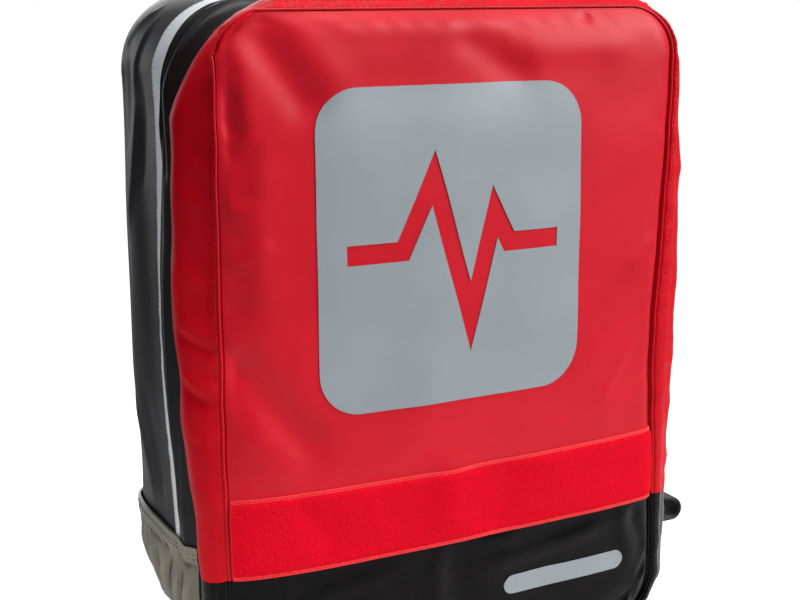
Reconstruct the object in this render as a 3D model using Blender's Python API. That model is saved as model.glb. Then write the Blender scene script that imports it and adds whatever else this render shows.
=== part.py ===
"""Medical backpack: a soft main compartment with a red front pocket, standing on its base.

Metres, +Z up, the front pocket faces -Y. The cloth skin is one surface, skin(), lofted through
the rows of SECTIONS. Every gusset, flap, strip and boot is a patch of it with its own wall.
"""
import math

import bmesh
import bpy
import numpy as np

# Main sizes of the pack
PACK_WIDTH = 0.354        # main compartment at its widest
POCKET_WIDTH = 0.370      # front pocket at its bulge
FRONT_WIDTH = 0.322       # front panel between its seams
PACK_HEIGHT = 0.456
MAIN_DEPTH = 0.134        # from the valley behind the pocket to the back seam
POCKET_DEPTH = 0.053      # from the front seam to the valley
JOINT_HEIGHT = 0.100      # where the red cloth meets the black cloth of the base
CORNER_RADIUS = 0.050     # top corners of the main compartment
BASE_RADIUS = 0.096       # bottom corners of the main compartment
BASE_SHARE = 0.94         # most of the height below the joint that a bottom corner may take

# Cloth
WALL = 0.0020             # coated cloth with its lining
BOOT_WALL = 0.0018        # heavier cloth round the base
GAP = 0.0003              # between pieces that touch
SEAM_GAP = 0.0017         # between a panel and the gusset that it is sewn to
RIM_GAP = 0.0006          # between a panel and the rim that it is set into
FRONT_SHOULDER = 0.0065   # rise of the front panel just inside its seam
SHOULDER_REACH = 0.010    # how far inside the seam that rise takes
FRONT_CROWN = 0.0080      # further rise at the middle of the front panel
BACK_PAD_RISE = 0.0080    # padded middle of the back panel

# Trim
STRIP_WIDTH = 0.012
STRIP_WALL = 0.0008
STRIP_SETBACK = 0.028     # from the valley to the rear edge of the strip
FLAP_WALL = 0.0012
TRIM_SETBACK = 0.004      # from the valley to the front edges of the main flap and the boot
WELT_WALL = 0.0010
BAND_HEIGHT = 0.0525
BAND_WALL = 0.0022
POCKET_FLAP_WIDTH = 0.026
EMBLEM_WIDTH = 0.188
EMBLEM_HEIGHT = 0.201
EMBLEM_RADIUS = 0.028
EMBLEM_WALL = 0.0006
EMBLEM_GAP = 0.0006       # between the emblem and the cloth that curves under it
EMBLEM_DROP = 0.0545      # from the top of the pack to the emblem
EMBLEM_SHIFT = -0.010     # of its middle, to the left
PULSE_HALF_WIDTH = 0.0062
MARK_LENGTH = 0.100
MARK_HEIGHT = 0.014
MARK_DROP = 0.033         # below the joint of the cloths
MARK_SIDE_GAP = 0.029     # from the right end of the mark to the seam

# Webbing, straps and handle
WEBBING_WIDTH = 0.025
WEBBING_WALL = 0.0018
LOOP_REACH = 0.058        # how far the side loop stands out
LOOP_HEIGHT = 0.0245      # between its upper and lower run
LOOP_ARCH = 0.0022        # rise of the upper run's middle
LOOP_DROP = 0.042         # from the joint of the cloths to the middle of the loop
LOOP_SETBACK = 0.009      # from the valley to the middle of the loop
HANDLE_SPAN = 0.112       # between the feet of the grab handle
HANDLE_RISE = 0.030
HANDLE_FOOT = 0.026
HANDLE_WALL = 0.0034
HANDLE_FROM_BACK = 0.048  # from the middle of the handle to the back seam
STRAP_WIDTH = 0.064
STRAP_WALL = 0.012
STRAP_TOP_X = 0.056
STRAP_END_X = 0.098
STRAP_TOP_DROP = 0.036    # from the top of the pack to the top end of the strap
STRAP_DROP = 0.208        # from there to its lower end
STRAP_EDGE = 0.3          # share of its wall that is cut off its edges
STRAP_NARROWING = (0.80, 0.42)    # where along it the strap begins to narrow, and by how much
STRAP_STAND = 0.030       # stand-off of the strap from the back, for an arm
BUCKLE_TILT = math.radians(9.0)
BUCKLE_RAIL = 0.0036
BUCKLE_WALL = 0.0050
BUCKLE_SIDE_GAP = 0.0008
BUCKLE_BARS = (           # start and end of each bar along the buckle, and its share of the wall
    (0.0, 0.0040, 1.0), (0.0130, 0.0170, 0.6), (0.0220, 0.0260, 1.0))
TAB_LENGTH = 0.009        # from the end of the padded strap to the buckle
TAIL_LENGTH = 0.062
ANCHOR_LENGTH = 0.028
ANCHOR_REACH = 0.128      # from the end of the padded strap down to the anchor's end

# Cross-sections from front to back. depth is a share of the compartment's depth, counted from
# the valley; width of FRONT_WIDTH, POCKET_WIDTH or PACK_WIDTH; top and low of PACK_HEIGHT; joint of
# JOINT_HEIGHT; top_left and top_right of CORNER_RADIUS; base of BASE_RADIUS.
SECTIONS = (
    # name, depth, width, top, low, joint, top_left, top_right, base
    ("front_seam", -1.000, 1.000, 0.978, 0.018, 1.015, 0.60, 0.68, 0.36),
    ("flange", -0.906, 0.946, 0.991, 0.005, 0.990, 1.24, 1.00, 0.44),
    ("pocket_bulge", -0.660, 1.000, 1.000, -0.003, 0.980, 1.76, 1.28, 0.50),
    ("pocket_rear", -0.283, 0.973, 0.996, -0.002, 0.980, 1.76, 1.32, 0.54),
    ("valley", 0.000, 0.949, 0.974, 0.022, 0.990, 1.24, 1.20, 0.62),
    ("main_front", 0.097, 0.966, 0.987, 0.006, 1.010, 1.08, 1.08, 0.73),
    ("strip_rear", 0.209, 0.983, 0.993, -0.002, 1.020, 1.00, 1.00, 0.83),
    ("main_middle", 0.522, 1.000, 1.000, -0.004, 1.040, 1.00, 1.00, 1.00),
    ("main_rear", 0.761, 0.980, 1.000, 0.008, 1.010, 1.08, 1.08, 1.00),
    ("rear_round", 0.925, 0.927, 0.978, 0.048, 0.980, 1.08, 1.08, 0.92),
    ("back_seam", 1.000, 0.842, 0.952, 0.088, 0.970, 1.00, 1.00, 0.80),
)
FRONT_ROW, BULGE_ROW, POCKET_REAR_ROW, VALLEY_ROW, MIDDLE_ROW, BACK_ROW = 0, 2, 3, 4, 7, 10
WELT_ROWS = (0.06, 0.18, 0.30)    # row positions across the welt beside the front seam
BOOT_END_ROW = 9.85

# How the sides swell and sag with height. Height is a share of PACK_HEIGHT, the rest of PACK_WIDTH.
GIRTH = (
    # height, seam_right, pocket_left, pocket_right, main_left
    (0.00, 0.000, -0.034, 0.006, 0.000),
    (0.14, 0.000, -0.034, 0.003, -0.008),
    (0.26, -0.006, -0.031, 0.003, -0.011),
    (0.45, -0.022, -0.010, 0.008, 0.000),
    (0.65, -0.011, -0.004, 0.007, 0.000),
    (0.85, 0.000, -0.011, -0.006, -0.004),
    (1.00, 0.003, -0.008, -0.008, -0.004),
)

# Padded middle of the back panel: where its sides, foot and head rise, and the channel down it
PAD_SIDES = (0.50, 0.74)  # shares of the half width
PAD_FOOT = (0.22, 0.34)   # shares of the height
PAD_HEAD = (0.72, 0.82)
PAD_CHANNEL = (0.09, 0.7)    # half its width as a share of the panel's, and its depth as one of the rise

# Folds of the front panel, from one end to the other. x is a share of FRONT_WIDTH from the
# middle, z a share of PACK_HEIGHT, width of FRONT_WIDTH, rise of FRONT_CROWN (negative is a dent).
FRONT_FOLDS = (
    # name, x0, z0, x1, z1, width, rise
    ("corner_dent", -0.45, 0.94, -0.36, 0.84, 0.050, -0.60),
    ("corner_ridge", -0.46, 0.87, -0.37, 0.71, 0.040, 0.45),
    ("left_hollow", -0.44, 0.78, -0.42, 0.55, 0.060, -0.55),
    ("top_dent", 0.07, 0.95, 0.22, 0.93, 0.050, -0.35),
    ("right_crease", 0.39, 0.55, 0.32, 0.41, 0.045, -0.40),
    ("left_low_ridge", -0.40, 0.45, -0.22, 0.36, 0.070, 0.35),
    ("band_wave_out", -0.10, 0.24, -0.08, 0.36, 0.060, 0.40),
    ("band_wave_in", 0.04, 0.22, 0.08, 0.34, 0.070, -0.40),
    ("low_fold", -0.25, 0.04, -0.05, 0.15, 0.060, -0.35),
)

# Upright creases of the main compartment's sides. depth is a share of MAIN_DEPTH from the valley,
# low and high of PACK_HEIGHT, width of MAIN_DEPTH, rise of WALL.
SIDE_CREASES = (
    # name, depth, low, high, width, rise
    ("front_crease", 0.36, 0.30, 0.92, 0.13, -1.4),
    ("middle_ridge", 0.55, 0.26, 0.86, 0.12, 0.9),
    ("rear_crease", 0.74, 0.30, 0.96, 0.11, -1.2),
)

# Heart-trace slot through the emblem, as shares of its width and height from its middle
PULSE = (
    (-0.40, 0.00), (-0.20, 0.00), (-0.085, 0.22), (0.055, -0.23), (0.150, 0.10), (0.205, 0.00),
    (0.40, 0.00),
)

# The padded strap from its top end to its lower end: across from STRAP_TOP_X to STRAP_END_X,
# down by shares of STRAP_DROP, and stand-off as a share of STRAP_STAND
STRAP_ROUTE = (
    # along, across, down, stand
    (0.00, 0.00, 0.00, 0.00),
    (0.20, 0.03, 0.19, 0.00),
    (0.42, 0.18, 0.41, 0.52),
    (0.66, 0.47, 0.66, 0.96),
    (0.86, 0.80, 0.86, 1.00),
    (1.00, 1.00, 1.00, 0.90),
)

# sRGB colours, roughness and metallic value of the cloths and fittings
FINISHES = {
    "red_tarpaulin": ((201, 31, 40), 0.42, 0.0),
    "red_loop_pile": ((214, 12, 33), 0.90, 0.0),
    "black_tarpaulin": ((40, 38, 40), 0.45, 0.0),
    "black_fabric": ((44, 44, 46), 0.70, 0.0),
    "boot_fabric": ((62, 60, 58), 0.40, 0.0),
    "reflective_grey": ((150, 158, 164), 0.50, 0.1),
    "webbing_black": ((34, 34, 36), 0.75, 0.0),
    "black_plastic": ((28, 28, 30), 0.40, 0.0),
}


def clear_scene():
    """Removes every object of the scene that is open."""
    for old in list(bpy.data.objects):
        bpy.data.objects.remove(old, do_unlink=True)


def finish(name):
    """One Principled material per cloth or fitting."""
    if name in bpy.data.materials:
        return bpy.data.materials[name]
    rgb, roughness, metallic = FINISHES[name]
    made = bpy.data.materials.new(name)
    made.use_nodes = True
    shader = made.node_tree.nodes["Principled BSDF"]
    linear = [((c / 255 + 0.055) / 1.055) ** 2.4 for c in rgb]
    shader.inputs["Base Color"].default_value = (*linear, 1.0)
    shader.inputs["Roughness"].default_value = roughness
    shader.inputs["Metallic"].default_value = metallic
    return made


def smooth_curve(xs, ys, x):
    """Cubic through the points that never overshoots between two of them."""
    xs, ys = np.asarray(xs, float), np.asarray(ys, float)
    step = np.diff(xs)
    slope = np.diff(ys) / step
    tangent = np.concatenate(([slope[0]], np.zeros(len(xs) - 2), [slope[-1]]))
    for i in range(1, len(xs) - 1):
        if slope[i - 1] * slope[i] > 0:
            before, after = 2 * step[i] + step[i - 1], step[i] + 2 * step[i - 1]
            tangent[i] = (before + after) / (before / slope[i - 1] + after / slope[i])
    k = np.clip(np.searchsorted(xs, x, side="right") - 1, 0, len(xs) - 2)
    f = np.clip((x - xs[k]) / step[k], 0.0, 1.0)
    return (ys[k] * (1 + 2 * f) * (1 - f) ** 2 + tangent[k] * step[k] * f * (1 - f) ** 2
            + ys[k + 1] * f * f * (3 - 2 * f) + tangent[k + 1] * step[k] * f * f * (f - 1))


def section_sizes(row):
    """Real sizes of each section of the table, one column per size."""
    name, depth, width, top, low, joint, top_left, top_right, base = row
    number = [r[0] for r in SECTIONS].index(name)
    reach = POCKET_DEPTH if number < VALLEY_ROW else MAIN_DEPTH
    if number == FRONT_ROW:
        full_width = FRONT_WIDTH
    elif number < VALLEY_ROW:
        full_width = POCKET_WIDTH
    else:
        full_width = PACK_WIDTH
    return (depth * reach, width * full_width / 2, top * PACK_HEIGHT, low * PACK_HEIGHT,
            joint * JOINT_HEIGHT, top_left * CORNER_RADIUS, top_right * CORNER_RADIUS,
            base * BASE_RADIUS)


SIZES = np.array([section_sizes(row) for row in SECTIONS])
ROW_NUMBERS = np.arange(len(SECTIONS), dtype=float)


def section(t):
    """Sizes at row position t, which may lie between two rows."""
    return [smooth_curve(ROW_NUMBERS, SIZES[:, c], t) for c in range(SIZES.shape[1])]


def row_at_depth(depth):
    """Row position of a depth behind (or, negative, before) the valley."""
    fine = np.linspace(0.0, BACK_ROW, 2001)
    return float(np.interp(depth, section(fine)[0], fine))


def soft_step(value, low, high):
    """Smooth rise from 0 at low to 1 at high."""
    f = np.clip((value - low) / (high - low), 0.0, 1.0)
    return f * f * (3 - 2 * f)


def skin(t, q):
    """Outer surface of the pack.

    t runs through the sections from front to back. q runs round a section: 0 is the middle of
    the base, 1 to 2 the right bottom corner, 3 the joint of the cloths, 4 to 5 the top corner, 6 the
    middle of the top, and 6 to 12 the left half back down to the base.
    """
    y, half, top, low, joint, radius_left, radius_right, base = section(t)
    q = np.mod(q, 12.0)
    right = q <= 6.0
    k = np.where(right, q, 12.0 - q)
    part = np.minimum(np.floor(k), 5.0)
    f = k - part
    radius = np.where(right, radius_right, radius_left)
    base_rise = np.minimum(base, BASE_SHARE * (joint - low))
    base_top = low + base_rise
    side_top = top - radius
    turn = f * math.pi / 2
    pieces = [part == i for i in range(6)]
    x = np.select(pieces, [f * (half - base), half - base + base * np.sin(turn), half + 0 * f,
                           half + 0 * f, half - radius + radius * np.cos(turn),
                           (half - radius) * (1 - f)])
    z = np.select(pieces, [low + 0 * f, low + base_rise * (1 - np.cos(turn)),
                           base_top + (joint - base_top) * f, joint + (side_top - joint) * f,
                           side_top + radius * np.sin(turn), top + 0 * f])
    heights = [row[0] * PACK_HEIGHT for row in GIRTH]
    seam_right, pocket_left, pocket_right, main_left = (
        smooth_curve(heights, [row[c] * PACK_WIDTH for row in GIRTH], z) for c in range(1, 5))
    at_seam = np.clip(1 - t, 0, 1)
    at_pocket = np.clip(t, 0, 1) * np.clip(VALLEY_ROW + 0.5 - t, 0, 1)
    at_main = np.clip(t - VALLEY_ROW - 0.5, 0, 1)
    swell = np.where(right, at_seam * seam_right + at_pocket * pocket_right,
                     at_pocket * pocket_left + at_main * main_left)
    x = x + swell * np.clip(x / half, 0, 1)
    crease = 0.0
    for _, depth, bottom, up, width, rise in SIDE_CREASES:
        near = np.exp(-((y - depth * MAIN_DEPTH) / (width * MAIN_DEPTH)) ** 2)
        tall = (soft_step(z, (bottom - 0.06) * PACK_HEIGHT, (bottom + 0.06) * PACK_HEIGHT)
                * (1 - soft_step(z, (up - 0.10) * PACK_HEIGHT, up * PACK_HEIGHT)))
        crease = crease + rise * WALL * near * tall
    x = x + crease * np.clip(x / half, 0, 1) ** 2
    sole = np.where(t > VALLEY_ROW, BOOT_WALL + GAP, 0.0)
    return np.stack([np.where(right, x, -x), y + 0 * x, np.maximum(z, sole)], axis=-1)


def unit(vectors):
    """Each vector at length 1."""
    return vectors / np.linalg.norm(vectors, axis=-1, keepdims=True)


def grid_normals(points, towards):
    """Normals of a grid of points, on the side that the vectors in towards point to."""
    across = np.gradient(points, axis=0)
    along = np.gradient(points, axis=1)
    normals = unit(np.cross(across, along))
    if np.sum(normals * towards) < 0:
        normals = -normals
    return normals


def add_object(name, cloth, vertices, faces):
    """One closed mesh as a named object with its finish."""
    mesh = bpy.data.meshes.new(name)
    mesh.from_pydata([tuple(map(float, v)) for v in vertices], [], faces)
    body = bmesh.new()
    body.from_mesh(mesh)
    loose = [v for v in body.verts if not v.link_faces]
    bmesh.ops.delete(body, geom=loose, context="VERTS")
    bmesh.ops.recalc_face_normals(body, faces=body.faces)
    body.to_mesh(mesh)
    body.free()
    made = bpy.data.objects.new(name, mesh)
    bpy.context.scene.collection.objects.link(made)
    made.data.materials.append(finish(cloth))
    return made


def sheet_solid(name, cloth, outer, inner, ring=False, keep=None):
    """A wall between two grids of points, closed along every open edge.

    With ring the last column meets the first one. keep marks the cells that exist. Each cell is
    cut along the same diagonal on both sides, so walls that lie on each other keep their gap.
    """
    rows, columns = outer.shape[:2]
    cells = columns if ring else columns - 1
    if keep is None:
        keep = np.ones((rows - 1, cells), bool)
    far = rows * columns
    faces = []
    edges = {}
    for i in range(rows - 1):
        for j in range(cells):
            if not keep[i, j]:
                continue
            right = (j + 1) % columns
            corners = [i * columns + j, i * columns + right,
                       (i + 1) * columns + right, (i + 1) * columns + j]
            for triangle in (corners[:3], [corners[0], corners[2], corners[3]]):
                faces.append(triangle)
                faces.append([far + c for c in reversed(triangle)])
            for a, b in zip(corners, corners[1:] + corners[:1]):
                if (b, a) in edges:
                    del edges[(b, a)]
                else:
                    edges[(a, b)] = True
    for a, b in edges:
        faces.append([b, a, far + a, far + b])
    vertices = np.concatenate([outer.reshape(-1, 3), inner.reshape(-1, 3)])
    return add_object(name, cloth, vertices, faces)


def skin_patch(name, cloth, t_values, q_values, lift, wall, ring=False):
    """A patch of the skin: its outer face stands lift above the skin and its wall lies inside."""
    t_grid, q_grid = np.meshgrid(t_values, q_values, indexing="ij")
    if ring:
        closed = np.concatenate([q_values[-1:] - 12.0, q_values, q_values[:1] + 12.0])
        t_wide, q_wide = np.meshgrid(t_values, closed, indexing="ij")
        points = skin(t_wide, q_wide)
    else:
        points = skin(t_grid, q_grid)
    centre = np.array([0.0, 0.0, PACK_HEIGHT / 2])
    towards = (points - centre) * np.array([1.0, 0.0, 1.0])
    normals = grid_normals(points, towards)
    if ring:
        points, normals = points[:, 1:-1], normals[:, 1:-1]
    outer = points + normals * lift
    inner = points + normals * (lift - wall)
    return sheet_solid(name, cloth, outer, inner, ring=ring)


def round_section(counts):
    """q values of half a section, with a number of steps for each of its six parts."""
    values = [0.0]
    for part, count in enumerate(counts):
        values += [part + (i + 1) / count for i in range(count)]
    return np.array(values)


HALF_STEPS = (3, 6, 1, 7, 5, 4)


def full_round():
    """q values once round a section, the last one short of the first."""
    half = round_section(HALF_STEPS)
    return np.concatenate([half, 12.0 - half[::-1][1:-1]])


def upper_round(lift_off):
    """q values of the inverted U above the joint, its ends lift_off above the joint."""
    half = round_section(HALF_STEPS)
    upper = np.concatenate([half[half >= 3.0], 12.0 - half[half >= 3.0][::-1][1:]])
    side = PACK_HEIGHT - JOINT_HEIGHT - CORNER_RADIUS
    upper[0] += lift_off / side
    upper[-1] -= lift_off / side
    return upper


def lower_round(drop):
    """q values of the U below the joint, from the left side round to the right side."""
    half = round_section(HALF_STEPS)
    lower = half[half <= 3.0]
    values = np.concatenate([12.0 - lower[::-1], 12.0 + lower[1:]])
    side = SIZES[POCKET_REAR_ROW, 4] - SIZES[POCKET_REAR_ROW, 7]
    values[0] += drop / side
    values[-1] -= drop / side
    return values


def seam_half_widths(row, z, inset):
    """Half widths, left and right, at height z of a panel set in by inset from the section at row."""
    q = np.linspace(1.0, 5.0, 801)
    right = skin(np.full_like(q, row), q)
    left = skin(np.full_like(q, row), 12.0 - q)
    above, below = z + inset, z - inset
    left_half = np.minimum(np.interp(above, left[:, 2], -left[:, 0]),
                           np.interp(below, left[:, 2], -left[:, 0]))
    right_half = np.minimum(np.interp(above, right[:, 2], right[:, 0]),
                            np.interp(below, right[:, 2], right[:, 0]))
    return left_half - inset, right_half - inset


def panel_grid(row, u_values, z_values, inset):
    """x and z of a panel grid: u from -1 at the left seam to 1 at the right seam."""
    u, z = np.meshgrid(u_values, z_values, indexing="xy")
    left, right = seam_half_widths(row, z, inset)
    return u, np.where(u < 0, u * left, u * right), z


def front_rise(x, z):
    """How far the front panel stands before its seam: a shoulder, a crown and its folds."""
    _, half, top, low = (float(v) for v in section(np.array(float(FRONT_ROW)))[:4])
    left, right = seam_half_widths(FRONT_ROW, z, 0.0)
    edges = [left + x, right - x, top - z, z - low]
    shoulder = FRONT_SHOULDER
    for edge in edges:
        shoulder = shoulder * (1 - np.exp(-np.maximum(edge, 0) / SHOULDER_REACH))
    across = np.clip(1 - (x / half) ** 2, 0, 1)
    upright = np.clip(1 - ((z - (top + low) / 2) / ((top - low) / 2)) ** 2, 0, 1)
    rise = shoulder + FRONT_CROWN * across * upright
    edge_fade = np.clip(np.minimum(np.minimum(left + x, right - x),
                                   np.minimum(top - z, z - low)) / (2 * SHOULDER_REACH), 0, 1)
    for _, x0, z0, x1, z1, width, share in FRONT_FOLDS:
        start = np.array([x0 * FRONT_WIDTH, z0 * PACK_HEIGHT])
        run = np.array([x1 * FRONT_WIDTH, z1 * PACK_HEIGHT]) - start
        along = ((x - start[0]) * run[0] + (z - start[1]) * run[1]) / (run @ run)
        along = np.clip(along, 0, 1)
        off = np.hypot(x - start[0] - along * run[0], z - start[1] - along * run[1])
        rise = rise + edge_fade * share * FRONT_CROWN * np.exp(-(off / (width * FRONT_WIDTH)) ** 2)
    return rise


def front_points(x, z, lift=0.0):
    """Points of the front panel's face, moved out by lift along its normal."""
    step = 0.0005
    slope_x = (front_rise(x + step, z) - front_rise(x - step, z)) / (2 * step)
    slope_z = (front_rise(x, z + step) - front_rise(x, z - step)) / (2 * step)
    normal = unit(np.stack([-slope_x, -np.ones_like(x), -slope_z], axis=-1))
    face = np.stack([x, -POCKET_DEPTH - front_rise(x, z), z], axis=-1)
    return face + normal * lift


def front_sheet(name, cloth, x, z, lift, wall, keep=None):
    """A sheet on the front panel: its outer face stands lift above the panel's face."""
    return sheet_solid(name, cloth, front_points(x, z, lift), front_points(x, z, lift - wall),
                       keep=keep)


def eased(low, high, count):
    """Values from low to high, closer together towards both ends."""
    f = np.linspace(0.0, 1.0, count)
    return low + (high - low) * (0.35 * f + 0.65 * (0.5 - 0.5 * np.cos(math.pi * f)))


def sweep(name, cloth, path, normals, across, profile):
    """A closed bar: the profile, in (across, normal) pairs, carried along the path."""
    rings = []
    for point, normal in zip(path, normals):
        rings.append([point + across * a + normal * n for a, n in profile])
    rings = np.array(rings)
    count, sides = rings.shape[:2]
    faces = []
    for i in range(count - 1):
        for j in range(sides):
            k = (j + 1) % sides
            faces.append([i * sides + j, i * sides + k, (i + 1) * sides + k, (i + 1) * sides + j])
    faces.append(list(range(sides))[::-1])
    faces.append([(count - 1) * sides + j for j in range(sides)])
    return add_object(name, cloth, rings.reshape(-1, 3), faces)


def flat_profile(width, wall, rounding=0.0):
    """Flat band's cross-section, its corners cut by rounding."""
    w, h, r = width / 2, wall / 2, rounding
    if r <= 0:
        return [(-w, -h), (w, -h), (w, h), (-w, h)]
    return [(-w + r, -h), (w - r, -h), (w, -h + r), (w, h - r),
            (w - r, h), (-w + r, h), (-w, h - r), (-w, -h + r)]


def planar_normals(path, across):
    """Normals of a path that stays in the plane square to across."""
    tangents = unit(np.gradient(path, axis=0))
    return unit(np.cross(across, tangents))


def main_rows():
    """Row positions of the main compartment's mesh, with those where its trim begins and ends."""
    trim = [TRIM_SETBACK, (TRIM_SETBACK + STRIP_SETBACK - STRIP_WIDTH) / 2,
            STRIP_SETBACK - STRIP_WIDTH, STRIP_SETBACK - STRIP_WIDTH / 2, STRIP_SETBACK]
    start = [float(VALLEY_ROW)] + [row_at_depth(depth) for depth in trim]
    middle = np.linspace(start[-1], 8.0, 6)[1:]
    return np.concatenate([start, middle, [8.5, 9.0, 9.45, BOOT_END_ROW, float(BACK_ROW)]])


def pocket_rows():
    """Row positions of the pocket gusset's mesh, with those of its welt and its flap."""
    flap = [row_at_depth(SIZES[BULGE_ROW, 0] + POCKET_FLAP_WIDTH * s) for s in (-0.35, 0.35, 0.65)]
    end = row_at_depth(-GAP)
    return np.array([0.0, *WELT_ROWS, 0.65, 1.0, flap[0], 1.75, 2.0, flap[1], flap[2], 3.4, end])


def between(rows, first, last):
    """The row positions from first to last."""
    return rows[(rows > first - 1e-6) & (rows < last + 1e-6)]


def make_gussets():
    """Main compartment's gusset, pocket gussets in both cloths, and the wall between them."""
    skin_patch("main_gusset", "black_fabric", main_rows(), full_round(), 0.0, WALL, ring=True)
    rows = pocket_rows()
    skin_patch("pocket_gusset_red", "red_tarpaulin", rows, upper_round(GAP), 0.0, WALL)
    skin_patch("pocket_gusset_black", "black_tarpaulin", rows, lower_round(GAP), 0.0, WALL)
    top, low = (float(v) for v in section(np.array(float(VALLEY_ROW)))[2:4])
    inset = WALL + RIM_GAP
    _, x, z = panel_grid(VALLEY_ROW, np.linspace(-1, 1, 7), eased(low + inset, top - inset, 12), inset)
    face = np.stack([x, np.zeros_like(x), z], axis=-1)
    behind = face + np.array([0.0, WALL, 0.0])
    sheet_solid("divider_panel", "black_fabric", face, behind)


def make_front():
    """Front panel in red and black cloth, the loop-pile band, the emblem and the plain mark."""
    sizes = [float(v) for v in section(np.array(float(FRONT_ROW)))]
    top, low, joint = sizes[2], sizes[3], sizes[4]
    across = eased(-1.0, 1.0, 17)
    band_rows = joint + GAP / 2 + np.array([0.0, 0.08, 0.36, 0.64, 0.92, 1.0]) * BAND_HEIGHT
    upper = np.concatenate([band_rows, eased(band_rows[-1], top - SEAM_GAP, 15)[1:]])
    _, x, z = panel_grid(FRONT_ROW, across, upper, SEAM_GAP)
    front_sheet("front_panel_red", "red_tarpaulin", x, z, 0.0, WALL)
    count = len(band_rows)
    front_sheet("loop_band", "red_loop_pile", x[:count], z[:count], GAP + BAND_WALL, BAND_WALL)
    lower = eased(low + SEAM_GAP, joint - GAP / 2, 8)
    _, x, z = panel_grid(FRONT_ROW, across, lower, SEAM_GAP)
    front_sheet("front_panel_black", "black_tarpaulin", x, z, 0.0, WALL)
    make_emblem()
    make_mark()


def rounded_limit(offset, half, radius, reach):
    """Half height of a rounded rectangle at a distance from its upright middle line."""
    into = np.clip(np.abs(offset) - (half - radius), 0, radius)
    return reach - radius + np.sqrt(np.maximum(radius ** 2 - into ** 2, 0))


def offset_line(points, distance):
    """A mitred line beside a polyline."""
    runs = unit(np.diff(points, axis=0))
    sides = np.stack([-runs[:, 1], runs[:, 0]], axis=-1)
    moved = [points[0] + sides[0] * distance]
    for i in range(1, len(points) - 1):
        mitre = unit(sides[i - 1] + sides[i])
        moved.append(points[i] + mitre * distance / (mitre @ sides[i]))
    moved.append(points[-1] + sides[-1] * distance)
    return np.array(moved)


def make_emblem():
    """Grey reflective rounded square with a heart-trace slot that shows the red cloth."""
    trace = np.array(PULSE) * np.array([EMBLEM_WIDTH, EMBLEM_HEIGHT])
    slot_low = offset_line(trace, -PULSE_HALF_WIDTH)
    slot_high = offset_line(trace, PULSE_HALF_WIDTH)
    half = EMBLEM_WIDTH / 2
    margin = half - np.array([0.0, 0.12, 0.45, 1.0]) * EMBLEM_RADIUS
    left = [[-m, 0.0] for m in margin if -m < trace[0][0]]
    right = [[m, 0.0] for m in margin[::-1] if m > trace[-1][0]]
    spread = np.array([0.0, PULSE_HALF_WIDTH])
    low_line = np.array([p - spread for p in left] + list(slot_low) + [p - spread for p in right])
    high_line = np.array([p + spread for p in left] + list(slot_high) + [p + spread for p in right])
    edge_x = np.array([p[0] for p in left] + list(trace[:, 0]) + [p[0] for p in right])
    reach = rounded_limit(edge_x, half, EMBLEM_RADIUS, EMBLEM_HEIGHT / 2)
    shares = np.array([0.0, 0.35, 0.7, 1.0])[:, None, None]
    bottom = np.stack([edge_x, -reach], axis=-1)
    top = np.stack([edge_x, reach], axis=-1)
    lower = bottom + (low_line - bottom) * shares
    upper = high_line + (top - high_line) * shares
    flat = np.concatenate([lower, upper])
    keep = np.ones((flat.shape[0] - 1, flat.shape[1] - 1), bool)
    keep[len(lower) - 1, len(left):len(left) + len(trace) - 1] = False
    centre_z = PACK_HEIGHT - EMBLEM_DROP - EMBLEM_HEIGHT / 2
    front_sheet("emblem", "reflective_grey", flat[..., 0] + EMBLEM_SHIFT, flat[..., 1] + centre_z,
                EMBLEM_GAP + EMBLEM_WALL, EMBLEM_WALL, keep=keep)


def make_mark():
    """Plain reflective bar with round ends on the black part of the front."""
    half, reach = MARK_LENGTH / 2, MARK_HEIGHT / 2
    ends = half - reach * np.array([0.0, 0.12, 0.45, 1.0])
    across = np.concatenate([-ends, np.linspace(-ends[-1], ends[-1], 6)[1:-1], ends[::-1]])
    limit = np.maximum(rounded_limit(across, half, reach, reach), 0.0004)
    shares = np.array([-1.0, 0.0, 1.0])[:, None]
    x = across[None, :] + 0 * shares + FRONT_WIDTH / 2 - MARK_SIDE_GAP - half
    z = limit[None, :] * shares + JOINT_HEIGHT - MARK_DROP - reach
    front_sheet("plain_mark", "reflective_grey", x, z, EMBLEM_GAP + EMBLEM_WALL, EMBLEM_WALL)


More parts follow.
